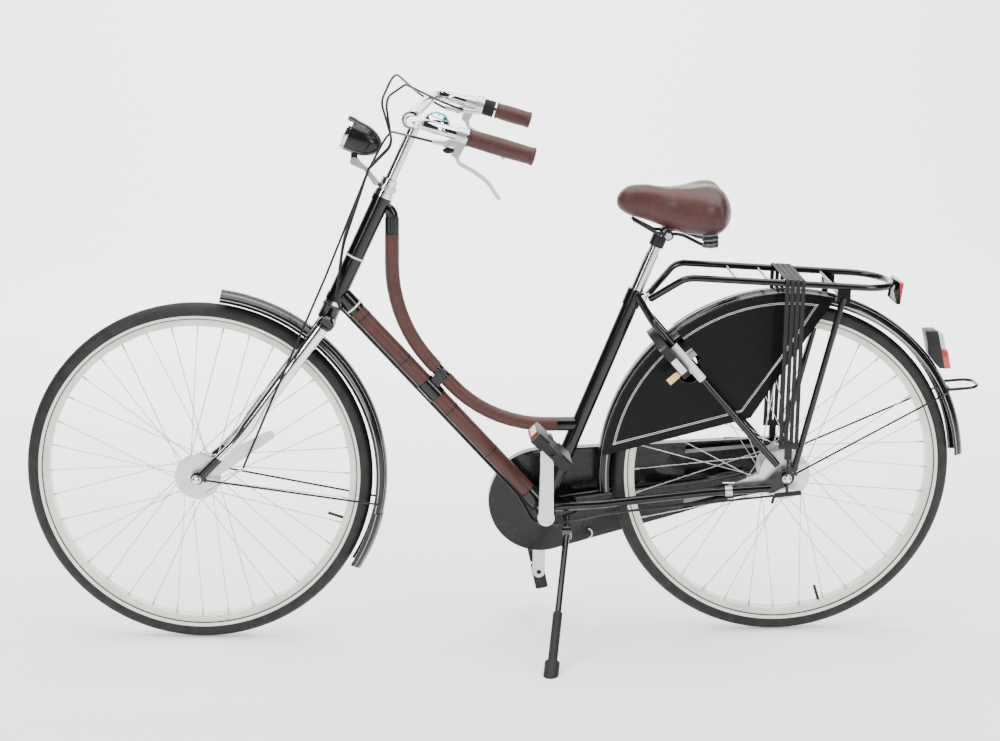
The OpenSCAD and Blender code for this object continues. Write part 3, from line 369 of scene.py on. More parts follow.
def lined_panel(name):
    f = enamel(name, (0.002, 0.002, 0.0022), 0.34, 0.06)
    radius, angle, y = f.ring(REAR_HUB, STANDING)
    lines = radius.between(350.6, 351.4, 0.2) + radius.between(353.4, 354.2, 0.2)
    x, y, z = f.split(f.place(STANDING))
    x, z = x - REAR_HUB.x, z - REAR_HUB.z
    corners = [(130, 480), (80, 344), (2, 230), (-70, 115), (-366, 38)]
    inside = radius.above(0, 1)
    for (x0, z0), (x1, z1) in zip(corners, corners[1:]):
        length = math.hypot(x1 - x0, z1 - z0)
        far = (x - x0) * ((z0 - z1) / length) + (z - z0) * ((x1 - x0) / length)
        far = far * -1.0
        lines = lines + far.between(17.1, 17.9, 0.2) + far.between(20.0, 20.8, 0.2)
        inside = inside * far.above(16.8, 0.2)
    lines = lines * inside * (1 - radius.above(355.0, 0.2))
    f.put("Base Color", f.mix(lines.above(0.5, 0.2) * 0.9, (0.002, 0.002, 0.0022), LINING))
    return f


GUARDS = {"front": lined_guard("front_guard_lined", FRONT_HUB, STEERED),
          "rear": lined_guard("rear_guard_lined", REAR_HUB, STANDING)}
PANEL = lined_panel("coat_guard_lined")
print("lined finishes ready")

# %% [markdown]
# Brown leather covers the saddle and wraps the tubes.  The grain is a cell pattern,
# the creases are a noise, and wear lightens the high places.
# %% Leather
def leather(name, dark, light, matrix=None, grain=520.0, shine=0.34):
    f = Finish(name, light, shine, 0.0, Coat_Weight=0.15, Coat_Roughness=0.25, Specular_IOR_Level=0.4)
    here = f.place(matrix)
    cells = f.node("TexVoronoi", {"feature": "DISTANCE_TO_EDGE"}, {"Vector": here, "Scale": grain})
    creases = f.noise(grain * 0.14, 4.0, here)
    patch = f.noise(grain * 0.03, 4.0, here)
    tone = f.mix(patch.above(0.5, 0.22), dark, light)
    worn = f.mix(creases.above(0.60, 0.1) * 0.3, tone, tuple(min(1, c * 1.6 + 0.008) for c in light))
    f.put("Base Color", f.mix((1 - cells.above(0.04, 0.03)) * 0.35, worn, tuple(c * 0.5 for c in dark)))
    f.put("Roughness", creases * 0.22 + shine - 0.06)
    f.bump(cells.above(0.10, 0.09) * 0.5 + creases * 1.2, 0.0004)
    return f


SADDLE_LEATHER = leather("saddle_leather", (0.034, 0.0042, 0.0024), (0.060, 0.0082, 0.0048))
WRAP_LEATHER = leather("wrap_leather", (0.040, 0.0072, 0.0046), (0.062, 0.0115, 0.0074), None, 430.0, 0.46)
GRIP_LEATHER = leather("grip_leather", (0.036, 0.0052, 0.0032), (0.060, 0.0092, 0.0056), None, 640.0, 0.44)
print("leathers ready")


REPLACED = set()


def settle(piece, body, nodes=()):
    """Link a new piece, hang it on its body and hide the CAD nodes it stands for."""
    if piece.name not in bpy.context.scene.collection.all_objects:
        bpy.context.scene.collection.objects.link(piece)
    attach(piece, body)
    if nodes:
        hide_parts(*nodes)
        REPLACED.update(nodes)
    return piece


def body_of_node(node):
    return next(body for body, nodes in frame["record"]["behaviour"]["bodies"].items()
                if node in nodes)


def smooth_copy(node, finish, crease=32.0, pick=None):
    """A merged copy of a CAD node.  pick gives each face the number of its finish."""
    source = bpy.data.objects[node]
    shape = bmesh.new()
    shape.from_mesh(source.data)
    bmesh.ops.remove_doubles(shape, verts=shape.verts, dist=0.000004)
    finishes = finish if isinstance(finish, (list, tuple)) else [finish]
    back = STEERED.inverted() if body_of_node(node) == "steering" else STANDING.inverted()
    for face in shape.faces:
        face.smooth = True
        face.material_index = pick(back @ face.calc_center_median()) if pick else 0
    for edge in shape.edges:
        if len(edge.link_faces) == 2:
            edge.smooth = edge.calc_face_angle(0.0) < math.radians(crease)
    data = bpy.data.meshes.new(node + "_skin")
    shape.to_mesh(data)
    shape.free()
    for one in finishes:
        data.materials.append(one.material)
    return settle(bpy.data.objects.new(node + "_skin", data), body_of_node(node), [node])


PLAIN = {
    "head_tube": ENAMEL, "down_tube": ENAMEL, "seat_tube": ENAMEL, "chain_stays": ENAMEL,
    "seat_stays": ENAMEL, "top_tube": ENAMEL, "headset_cups": CHROME, "rear_mudguard": GUARDS["rear"],
    "front_mudguard": GUARDS["front"], "rack": ENAMEL, "coat_guards": PANEL, "chaincase": GLOSS_PLASTIC,
    "chain": DARK_STEEL, "kickstand_bracket": ENAMEL, "rear_axle": STEEL, "front_axle": STEEL,
    "rear_brake": ALLOY, "front_brake": ALLOY, "gear_adjuster": BLACK_PLASTIC, "seatpost": CHROME,
    "stem": CHROME, "brake_perches": ALLOY, "headlight_bracket": STEEL, "bell_thumb": CHROME,
    "shifter_ring": BLACK_PLASTIC, "front_tyre": TYRES["front"], "rear_tyre": TYRES["rear"],
    "front_rim": RIMS["front"], "rear_rim": RIMS["rear"], "front_spokes": STEEL, "rear_spokes": STEEL,
    "front_hub_shell": ALLOY, "rear_hub_shell": ALLOY, "rear_sprocket": DARK_STEEL,
    "crankset": ALLOY, "chainring": STEEL, "left_pedal": BLACK_PLASTIC, "right_pedal": BLACK_PLASTIC,
    "kickstand_leg": ENAMEL, "kickstand_foot": RUBBER, "lock_bow": CHROME, "lock_body": BLACK_PLASTIC,
    "rear_light": BLACK_PLASTIC, "rack_reflector": BLACK_PLASTIC, "rack_straps": RUBBER,
    "fork": CHROME, "handlebar": CHROME, "grips": GRIP_LEATHER, "bell": CHROME, "saddle": SADDLE_LEATHER,
    "saddle_frame": BLACK_PLASTIC, "tube_wraps": WRAP_LEATHER, "frame_cables": CABLE,
    "crossing_cables": CABLE, "front_brake_cable": CABLE, "left_brake_lever": ALLOY,
    "right_brake_lever": ALLOY, "headlight": BLACK_PLASTIC, "front_mudguard_stays": ENAMEL,
    "rear_mudguard_stays": ENAMEL,
}

# %% [markdown]
# Many pieces are round: they are turned from a profile, as on a lathe.  `turned` lays
# the profile's points beside an axis and spins them; `tube` bends a round bar along a
# path whose corners are rounded first.
# %% Turning and bending
def trail(points, bends, steps=8):
    """A path through the points whose inner corners are arcs of the given radii."""
    path = [points[0]]
    for a, b, c, bend in zip(points, points[1:], points[2:], bends):
        u, v = (a - b).normalized(), (c - b).normalized()
        half = u.angle(v) / 2
        centre = b + (u + v).normalized() * (bend / math.sin(half))
        first, last = b + u * (bend / math.tan(half)) - centre, b + v * (bend / math.tan(half)) - centre
        first, last = first.normalized(), last.normalized()
        path += [centre + first.slerp(last, k / steps) * bend for k in range(steps + 1)]
    return path + [points[-1]]


def keep(name, shape, finishes, matrix, body, nodes=(), smooth=True, crease=40.0):
    """Turn a bmesh drawn on the upright bicycle into a piece in its real place."""
    shape.transform(matrix)
    bmesh.ops.recalc_face_normals(shape, faces=shape.faces)
    for face in shape.faces:
        face.smooth = smooth
    for edge in shape.edges:
        if len(edge.link_faces) == 2:
            edge.smooth = edge.calc_face_angle(0.0) < math.radians(crease)
    data = bpy.data.meshes.new(name)
    shape.to_mesh(data)
    shape.free()
    for one in finishes if isinstance(finishes, (list, tuple)) else [finishes]:
        data.materials.append(one.material)
    return settle(bpy.data.objects.new(name, data), body, nodes)


def turned(shape, profile, start, axis, steps=48, arc=360.0, ref=(0, 1, 0), number=0):
    """Spin a profile of (along, radius) points round an axis and add it to a bmesh."""
    axis = axis.normalized()
    out = Vector(ref) - axis * axis.dot(Vector(ref))
    out.normalize()
    chain = [shape.verts.new(start + axis * along + out * radius) for along, radius in profile]
    edges = [shape.edges.new(pair) for pair in zip(chain, chain[1:])]
    before = set(shape.faces)
    bmesh.ops.spin(shape, geom=chain + edges, cent=start, axis=axis, angle=math.radians(arc),
                   steps=steps, use_merge=arc >= 360.0, use_normal_flip=False)
    bmesh.ops.remove_doubles(shape, verts=shape.verts, dist=0.002)
    for face in set(shape.faces) - before:
        if face.is_valid:
            face.material_index = number
    return shape


def tube(name, points, radius, finish, body, matrix, nodes=(), cyclic=False, sides=5, blend=None):
    """A round bar or cable along a list of points, made a mesh at the end."""
    curve = bpy.data.curves.new(name + "_line", "CURVE")
    curve.dimensions, curve.bevel_depth, curve.bevel_resolution = "3D", radius / 1000, sides
    curve.use_fill_caps = True
    runs = points if isinstance(points[0], list) else [points]
    for run in runs:
        spline = curve.splines.new("POLY")
        spline.points.add(len(run) - 1)
        spline.use_cyclic_u = cyclic
        for spot, place in zip(spline.points, run):
            spot.co = (*(matrix @ place), 1.0)
    line = bpy.data.objects.new(name + "_line", curve)
    bpy.context.scene.collection.objects.link(line)
    graph = bpy.context.evaluated_depsgraph_get()
    data = bpy.data.meshes.new_from_object(line.evaluated_get(graph))
    bpy.data.objects.remove(line)
    for polygon in data.polygons:
        polygon.use_smooth = True
    data.name = name
    data.materials.clear()
    data.materials.append(finish.material)
    piece = bpy.data.objects.new(name, data)
    bpy.context.scene.collection.objects.link(piece)
    if blend:
        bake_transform(piece)
        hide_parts(*nodes)
        REPLACED.update(nodes)
        return piece
    return settle(piece, body, nodes)


def softened(node, finish, width=0.7, crease=32.0, pick=None):
    """A smooth copy whose hard edges get a small rounded bevel, as cast or moulded edges have."""
    piece = smooth_copy(node, finish, crease, pick)
    shape = bmesh.new()
    shape.from_mesh(piece.data)
    bmesh.ops.dissolve_limit(shape, angle_limit=math.radians(1.0), verts=shape.verts, edges=shape.edges,
                             delimit={"MATERIAL"})
    shape.to_mesh(piece.data)
    shape.free()
    bevel = piece.modifiers.new("edges", "BEVEL")
    bevel.width, bevel.segments, bevel.limit_method = width / 1000, 2, "ANGLE"
    bevel.angle_limit, bevel.use_clamp_overlap = math.radians(40), True
    bevel.harden_normals = False
    return piece


print("tools ready")

# %% [markdown]
# The saddle is a padded shell: a narrow nose, a waist, and a wide rear with two lobes
# and a shallow dip.  It starts as a sphere whose poles lie at nose and tail; every ring
# is moved to the saddle's own half-width, top and underside.  A short cloth run under
# pressure then swells the cover between its edges, as foam does.
# %% Saddle cover
def ease(value, low, high):
    t = min(1.0, max(0.0, (value - low) / (high - low)))
    return t * t * (3 - 2 * t)


def along(table, x):
    """Read a value from a table of (x, value) with a smooth curve through the points."""
    x = min(max(x, table[0][0]), table[-1][0])
    k = max([0] + [n for n in range(len(table) - 1) if x >= table[n][0]])
    (x0, a), (x1, b) = table[k], table[k + 1]
    before, after = table[max(k - 1, 0)], table[min(k + 2, len(table) - 1)]
    t, span = (x - x0) / (x1 - x0), x1 - x0
    leave = (b - before[1]) / (x1 - before[0]) * span
    arrive = (after[1] - a) / (after[0] - x0) * span
    return ((2 * t ** 3 - 3 * t ** 2 + 1) * a + (t ** 3 - 2 * t ** 2 + t) * leave
            + (3 * t ** 2 - 2 * t ** 3) * b + (t ** 3 - t ** 2) * arrive)


NOSE, TAIL = -93.0, 137.0
TOP_LINE = [(-93, 94), (-52, 99), (18, 92), (86, 103), (112, 101), (137, 88)]
LOW_LINE = [(-93, 44), (-48, 37), (10, 18), (64, 5), (100, 5), (137, 14)]
HALF_WIDTH = [(-93, 27), (-45, 31), (5, 41), (55, 74), (95, 98), (137, 92)]
NOSE_ROUND, TAIL_ROUND = 34.0, 34.0
pad = bmesh.new()
bmesh.ops.create_uvsphere(pad, u_segments=56, v_segments=64, radius=1.0,
                          matrix=Matrix.Rotation(math.radians(90), 4, "Y"))
for vertex in pad.verts:
    sx, sy, sz = vertex.co
    ring = math.sqrt(max(1e-9, 1 - sx * sx))
    x = NOSE + (TAIL - NOSE) * (0.5 + math.asin(max(-1, min(1, sx))) / math.pi)
    short = min(1.0, (x - NOSE) / NOSE_ROUND, (TAIL - x) / TAIL_ROUND)
    close = math.sqrt(max(0.0, 1 - (1 - short) ** 2))
    c, s = sy / ring, sz / ring
    top, low = along(TOP_LINE, x), along(LOW_LINE, x)
    middle = low + (top - low) * 0.45
    width = along(HALF_WIDTH, x) * close
    y = width * math.copysign(abs(c) ** 0.82, c)
    z = middle + ((top - middle) * abs(s) ** 0.8 if s > 0 else (low - middle) * abs(s) ** 0.75) * close
    lobe = ease(x, 30, 80) * 6.0 * (1 - min(1, abs(y) / 30) ** 2) if s > 0 else 0.0
    vertex.co = POST_TOP + Vector((x, y, z - lobe))
pad.transform(STANDING)
bmesh.ops.recalc_face_normals(pad, faces=pad.faces)
pad_data = bpy.data.meshes.new("saddle_cover")
pad.to_mesh(pad_data)
pad.free()
cover = bpy.data.objects.new("saddle_cover", pad_data)
bpy.context.scene.collection.objects.link(cover)
print("saddle cover", len(pad_data.vertices), "points")

# %% Swell the saddle
def swell(piece, voxel, pressure, cap):
    """Remesh, blow up with cloth pressure for 20 frames, and cap how far a point moves."""
    remesh = piece.modifiers.new("even", "REMESH")
    remesh.mode, remesh.voxel_size = "VOXEL", voxel
    graph = bpy.context.evaluated_depsgraph_get()
    even = bpy.data.meshes.new_from_object(piece.evaluated_get(graph))
    piece.modifiers.clear()
    piece.data = even
    rest = [v.co.copy() for v in even.vertices]
    cloth = piece.modifiers.new("cloth", "CLOTH")
    cloth.settings.use_pressure = True
    cloth.settings.uniform_pressure_force = pressure
    cloth.settings.quality = 4
    cloth.settings.effector_weights.gravity = 0.0
    for number in range(1, 21):
        bpy.context.scene.frame_set(number)
    graph = bpy.context.evaluated_depsgraph_get()
    swollen = bpy.data.meshes.new_from_object(piece.evaluated_get(graph))
    piece.modifiers.clear()
    for vertex, start in zip(even.vertices, rest):
        move = swollen.vertices[vertex.index].co - start
        vertex.co = start + move * min(1.0, cap / max(move.length, 1e-9))
    bpy.context.scene.frame_set(1)
    shape = bmesh.new()
    shape.from_mesh(even)
    for _ in range(3):
        bmesh.ops.smooth_vert(shape, verts=shape.verts, factor=0.5, use_axis_x=True, use_axis_y=True,
                              use_axis_z=True)
    for face in shape.faces:
        face.smooth = True
    shape.to_mesh(even)
    shape.free()
    even.materials.clear()
    return piece


swell(cover, 0.005, 4.0, 0.003)
cover.data.materials.append(SADDLE_LEATHER.material)
finer = cover.modifiers.new("finer", "SUBSURF")
finer.levels = finer.render_levels = 1
settle(cover, "saddle_post", ["saddle"])
print("saddle swollen")

# %% [markdown]
# Under the cover are two steel rails, a round clamp and two coil springs.  A coil is a
# bar bent along a helix, with flat closed ends.
# %% Saddle frame
RAIL_MID = POST_TOP + Vector((8, 0, 2))
softened("saddle_frame", BLACK_PLASTIC, 0.5)
for hand in (-1, 1):
    helix = [RAIL_MID + Vector((84 + 14.6 * math.cos(a), hand * 46 + 14.6 * math.sin(a), h))
             for k in range(97) for a in [k / 16 * 2 * math.pi] for h in [-17 + 34 * ease(k, 6, 90)]]
    tube(f"saddle_spring_{'lr'[hand > 0]}", helix, 2.5, DARK_STEEL, "saddle_post", STANDING)
clamp = bmesh.new()
for hand in (-1, 1):
    turned(clamp, [(0, 0), (0, 8), (5, 8), (6.5, 6.5), (6.5, 0)],
           RAIL_MID + Vector((3, hand * 27, 0)), Vector((0, hand, 0)), 6, ref=(1, 0, 0))
keep("saddle_clamp_nuts", clamp, STEEL, STANDING, "saddle_post", crease=20)
print("saddle frame ready")

# %% [markdown]
# The handlebar is one bent chrome tube.  The grips are brown sleeves with a rolled lip
# at each end and fine ribs between; the right one is short, beside the gear twister.
# %% Handlebar and grips
def on_grip(distance, hand):
    return GRIP_END + Vector((0, hand * 288, 0)) - BAR_BACK * distance


bar = trail([GRIP_END + Vector((0, -288, 0)), BAR_KNEE + Vector((0, -288, 0)), BAR_MID + Vector((0, -34, 0)),
             BAR_MID + Vector((0, 34, 0)), BAR_KNEE + Vector((0, 288, 0)), GRIP_END + Vector((0, 288, 0))],
            [58, 120, 120, 58], 14)
tube("handlebar_tube", bar, 11.1, CHROME, "steering", STEERED, ["handlebar"], sides=10)
grips = bmesh.new()
for hand, length in ((-1, 124), (1, 72)):
    ribs = [(-3, 0), (-3.2, 12), (-2.0, 16.4), (1, 17.2), (4, 16.9), (5.5, 15.6)]
    count = int((length - 12) / 2.2)
    for k in range(count):
        d = 6.5 + k * 2.2
        swell_r = 15.9 + 0.9 * math.sin(math.pi * k / count) + (0.28 if k % 2 else 0.0)
        ribs.append((d, swell_r))
    ribs += [(length - 4.5, 15.8), (length - 3.5, 17.4), (length - 0.6, 17.4), (length, 16.2), (length, 11.2)]
    turned(grips, ribs, on_grip(0, hand), -BAR_BACK, 40, ref=(0, 0, 1))
keep("grip_sleeves", grips, GRIP_LEATHER, STEERED, "steering", ["grips"])
twister = bmesh.new()
teeth = [(75.8, 11.3), (75.8, 16.2)]
for k in range(9):
    teeth += [(76.6 + k * 2.4, 17.2), (77.9 + k * 2.4, 17.2), (78.2 + k * 2.4, 15.9)]
turned(twister, teeth + [(98.9, 16.2), (98.9, 11.3)], on_grip(0, 1), -BAR_BACK, 40, ref=(0, 0, 1))
keep("gear_twister", twister, RUBBER, STEERED, "shifter", ["shifter_ring"])
print("bar and grips ready")

# %% [markdown]
# The cables leave the levers in free arcs, come together in front of the head tube and
# run down the frame under clips.  The two that cross from the steering to the frame
# are set in place once and belong to no body.
# %% Cables
def pin_at(hand):
    return on_grip(142 if hand < 0 else 132, hand) + Vector((-4, 0, -32))


V = Vector
hang = on_head(HEAD_TOP_T + 60)
left, right = pin_at(-1) + V((-44, 0, 19)), pin_at(1) + V((-44, 0, 19))
gear = on_grip(107, 1) + V((-34, -18, -8))
steer_runs = [
    trail([left, left + V((-40, 40, 4)), BAR_MID + V((-40, -64, -16)), hang + V((-52, -40, 0)),
           on_head(HEAD_LOW_T + 60) + V((-40, -44, 0)), FRONT_HUB + V((150, -72, 160)),
           FRONT_HUB + V((92, -46.8, 22))], [30, 60, 60, 120, 120], 10),
    trail([right, right + V((-50, -30, 30)), BAR_MID + V((-36, 70, 84)), BAR_MID + V((-60, 24, 30)),
           BAR_MID + V((-36, 17, -50)), hang + V((-52, 18, 0.3))], [40, 50, 30, 30], 10),
    trail([gear, gear + V((-44, -30, 20)), BAR_MID + V((-14, 70, 60)), BAR_MID + V((-50, -10, 40)),
           BAR_MID + V((-36, -17, -50)), hang + V((-52, -18, 0.3))], [30, 40, 30, 30], 10)]
tube("steering_cables", steer_runs, 2.4, CABLE, "steering", STEERED, ["front_brake_cable"])
DOWN_TOP = on_head(HEAD_LOW_T + 20)
tube_way = (DOWN_TOP - BB).normalized()
low_end = DOWN_TOP - tube_way * 40 + V((-14, 0, -14))
turned_way = STANDING.inverted() @ STEERED
cross_runs = [trail([turned_way @ (on_head(HEAD_TOP_T + 60) + V((-52, s * 18, 0))),
                     on_head(HEAD_LOW_T + 130) + V((-36, s * 25, 0)),
                     on_head(HEAD_LOW_T + 10) + V((-2, s * 29, 0)), low_end + V((-8, s * 14, 9)),
                     low_end + V((-0.4, s * 9, 0.6))], [160, 30, 8], 10) for s in (-1, 1)]
tube("crossing_cable_pair", cross_runs, 2.4, CABLE, None, STANDING, ["crossing_cables"],
     blend=("frame", "steering", tuple(STANDING @ (on_head(HEAD_LOW_T + 10) + V((-2, 0, 0)))),
            tuple(STANDING @ (on_head(HEAD_TOP_T + 56) + V((-50, 0, 0))))))
start = DOWN_TOP - tube_way * 40 + V((-14, -9, -14))
frame_runs = [
    trail([start, BB + tube_way * 60 + V((-14, -9, -14)), BB + V((-20, -16, -30)), BB + V((24, -40, -24)),
           BB + V((120, -56, 2)), BB + V((322, -68, 26)), REAR_HUB + V((-25.4, -75, -36))],
          [60, 20, 20, 80, 160], 10),
    trail([start + V((0, 18, 0)), BB + tube_way * 60 + V((-14, 9, -14)), BB + V((-20, 2, -30)),
           BB + V((24, -30, -30)), BB + V((120, -42, -4)), BB + V((322, -52, 24)),
           REAR_HUB + V((-48, -46, -37))], [60, 20, 20, 80, 160], 10)]
tube("frame_cable_pair", frame_runs, 2.4, CABLE, "frame", STANDING, ["frame_cables"])
clips = bmesh.new()
for q in (72, 192, 332, 452):
    turned(clips, [(0, 16.7), (0, 17.6), (2.6, 17.6), (2.6, 16.7), (0, 16.7)], DOWN_TOP - tube_way * q,
           tube_way, 32)
keep("cable_clips", clips, BLACK_PLASTIC, STANDING, "frame")
ties = bmesh.new()
for spot, axis, r in ((on_head(HEAD_LOW_T + 96), STEER_AXIS, 19.0),
                      (DOWN_TOP - tube_way * 44, tube_way, 18.4)):
    turned(ties, [(0, r), (0, r + 1.2), (3.4, r + 1.2), (3.4, r), (0, r)], spot, axis, 32)
keep("cable_ties", ties, WHITE_PLASTIC, STANDING, "frame")
print("cable runs in mm", [round(sum((b - a).length for a, b in zip(run, run[1:])))
                           for run in steer_runs + cross_runs + frame_runs])

# %% [markdown]
# The headlight is a black bullet with a bright rim round its lens; the lens is a
# shallow dome.  The shell, rim and lens are three turned pieces on one axis.
# %% Headlight
LAMP_PIN = on_head(HEAD_TOP_T) + V((-56, 0, 69))
LAMP_DIR = V((-0.92, 0, 0.40)).normalized()
lamp_back = LAMP_PIN + V((18, 0, 40)) - LAMP_DIR * 36
lamp = bmesh.new()
turned(lamp, [(-1, 0), (-0.6, 5), (1, 10), (4, 14.6), (9, 19.4), (16, 24), (25, 28), (35, 30.6), (46, 32),
              (58, 32.5), (70, 32.2), (70, 29), (66, 28.4)], lamp_back, LAMP_DIR, 64, number=0)
turned(lamp, [(67, 32.3), (67, 33.6), (69, 34.1), (73.5, 34.1), (75, 33.2), (75, 30.6), (71, 28.2)],
       lamp_back, LAMP_DIR, 64, number=1)
turned(lamp, [(70.5, 28.6), (73.5, 22), (75.6, 12), (76.4, 0)], lamp_back, LAMP_DIR, 64, number=2)
turned(lamp, [(54, 31.9), (68, 34.6), (80, 34.8), (80, 33.8), (68, 33.4), (54, 31.0)],
       lamp_back, LAMP_DIR, 24, 70.0, (0, -0.57, 0.82), 0)
turned(lamp, [(-5.2, 0), (-5.2, 4.6), (5.2, 4.6), (5.2, 0)], LAMP_PIN + V((0, 0, 26)), V((0, 1, 0)), 24,
       ref=(1, 0, 0), number=0)
for face in bmesh.ops.create_cube(lamp, size=1.0, matrix=Matrix.Translation(LAMP_PIN + V((0, 0, 10)))
                                  @ Matrix.Diagonal((13, 9, 32, 1)))["verts"][0].link_faces:
    face.material_index = 0
turned(lamp, [(-11, 0), (-11, 5), (-8.5, 5.6), (-8.5, 3), (8.5, 3), (8.5, 5.6), (11, 5), (11, 0)], LAMP_PIN,
       V((0, 1, 0)), 6, ref=(1, 0, 0), number=1)
keep("headlight_shell", lamp, [GLOSS_PLASTIC, CHROME, CLEAR_LENS], STEERED, "lamp", ["headlight"], crease=28)
print("headlight ready")

# %% [markdown]
# The bell is a pressed chrome dome on a post.  Its printed lid is a plain ring of
# turquoise petals, drawn by the angle and radius round the bell's own axis.
# %% Bell
BELL_AT = BAR_MID + V((54, -100, 6))
BELL_UP = V((0.35, 0, 0.94)).normalized()
bell_turn = Matrix.Translation(BELL_AT) @ BELL_UP.to_track_quat("Z", "Y").to_matrix().to_4x4()
PRINT = metal("bell_print", (0.80, 0.80, 0.81), 0.1, 0.06, 26.0, 0.00001)
bx, by, _ = PRINT.split(PRINT.place(STEERED @ bell_turn))
bell_r = PRINT.node("Math", {"operation": "SQRT"}, [bx * bx + by * by])
bell_a = PRINT.node("Math", {"operation": "ARCTAN2"}, [by, bx])
wave = PRINT.node("Math", {"operation": "SINE"}, [bell_a * 9.0])
petal = (bell_r.above(6.0, 0.5) * (1 - (bell_r - wave * 2.6).above(15.5, 0.5))
         + bell_r.between(20.5, 22.5, 0.3))
PRINT.put("Base Color", PRINT.mix(petal, (0.80, 0.80, 0.81), (0.05, 0.42, 0.44)))
PRINT.put("Metallic", 1.0 - petal * 0.9)
bell = bmesh.new()
dome = [(28.0 * math.sin(a) - 7.8, 28.0 * math.cos(a)) for a in [math.radians(6 * k) for k in range(15)]]
turned(bell, [(-8.6, 26.6), (-8.6, 28.6), (-7.0, 28.9)] + dome + [(20.2, 0)], BELL_AT, BELL_UP, 64, number=1)
turned(bell, [(-12, 0), (-12, 25), (-11, 26.2), (-9, 26.2), (-9, 24), (-9, 0)], BELL_AT, BELL_UP, 48,
       number=0)
turned(bell, [(0, 0), (0, 7), (34, 7), (34, 0)], BELL_AT - BELL_UP * 9, (BAR_MID + V((13, -112, 7))
       - (BELL_AT - BELL_UP * 9)), 24, number=0)
turned(bell, [(19, 0), (19, 2.6), (10, 2.6), (10, 0)], BELL_AT + V((BELL_UP.z, 0, -BELL_UP.x)) * 16, -BELL_UP,
       16, number=0)
keep("bell_dome", bell, [CHROME, PRINT], STEERED, "steering", ["bell"])
print("bell ready")

# %% [markdown]
# The fork blades are oval steel tubes, wide at the crown and slim at the hub.  They are
# black at both ends and chromed between; a mask along the blade parts the two finishes.
# %% Fork
FORK = metal("fork_chrome", (0.80, 0.80, 0.81), 0.1, 0.06, 26.0, 0.00001)
fx, _, fz = FORK.split(FORK.place(STEERED))
BLADE_FROM, BLADE_WAY = V((-349, 0, 660)), V((-0.557, 0, -0.830))
along_blade = (fx - BLADE_FROM.x) * BLADE_WAY.x + (fz - BLADE_FROM.z) * BLADE_WAY.z
bare = along_blade.between(0.0, 333.7, 1.0)
FORK.put("Base Color", FORK.mix(bare, (0.006, 0.006, 0.0065), (0.82, 0.82, 0.83)))
FORK.put("Metallic", bare * 1.0)
CROWN = on_head(CROWN_T + 4)
fork = bmesh.new()
for hand in (-1, 1):
    spine = trail([CROWN + V((-4, hand * 36, -10)), FRONT_HUB + V((88, hand * 50, 86)),
                   FRONT_HUB + V((10, hand * 54, 6))], [300], 16)
    rings = []
    for k, place in enumerate(spine):
        way = (spine[min(k + 1, len(spine) - 1)] - spine[max(k - 1, 0)]).normalized()
        share = k / (len(spine) - 1)
        wide, slim = 14.5 - 6.0 * share ** 0.8, 10.5 - 2.5 * share
        front = V((way.z, 0, -way.x)).normalized()
        made = bmesh.ops.create_circle(fork, segments=28, radius=1.0, cap_ends=k in (0, len(spine) - 1))
        for vertex in made["verts"]:
            a, b = vertex.co.x, vertex.co.y
            vertex.co = place + front * a * wide + V((0, 1, 0)) * b * slim
        rings.append([e for e in {e for v in made["verts"] for e in v.link_edges}])
    for one, two in zip(rings, rings[1:]):
        bmesh.ops.bridge_loops(fork, edges=one + two)
    turned(fork, [(-3, 0), (-3, 13), (3, 13), (3, 0)], FRONT_HUB + V((0, hand * 52.5, 0)), V((0, 1, 0)), 32,
           ref=(1, 0, 0))
turned(fork, [(-40, 0), (-40, 12), (-36, 16), (-16, 15.5), (-12, 18), (12, 18), (16, 15.5), (36, 16), (40, 12),
              (40, 0)], CROWN + V((0, 0, -8)), V((0, 1, 0)), 32, ref=(1, 0, 0))
turned(fork, [(0, 0), (0, 19), (26, 19), (28, 20.5), (33, 20.5), (35, 17), (35, 0)], on_head(CROWN_T),
       STEER_AXIS, 40)
keep("fork_blades", fork, FORK, STEERED, "steering", ["fork"])
print("fork ready")

# %% [markdown]
# The chaincase's rear half is closed by a thin black plate behind the axle's cut-out.
# %% Chaincase end plate
plate = bmesh.new()
bmesh.ops.create_grid(plate, x_segments=6, y_segments=6, size=1.0,
                      matrix=Matrix.Translation((543, 57.4, 348)) @ Matrix.Rotation(math.radians(90), 4, "X")
                      @ Matrix.Diagonal((61, 49, 1, 1)))
bmesh.ops.solidify(plate, geom=plate.faces, thickness=0.8)
keep("chaincase_end_plate", plate, GLOSS_PLASTIC, STANDING, "frame", crease=30)


# %% [markdown]
# Lamps, reflectors and pedals hold two or three finishes in one CAD piece.  A small
# function looks at where each face lies in the piece's own frame and picks its finish.
# %% Pieces with several finishes
def inside(origin, degrees):
    """The matrix from the upright bicycle into a piece's own frame."""
    return Matrix.Rotation(math.radians(-degrees), 4, "Y") @ Matrix.Translation(-origin)


REFLECTOR = inside(REAR_HUB + V((205 + 7.9, 0, GUARD_R + 12 - 14)), 7)


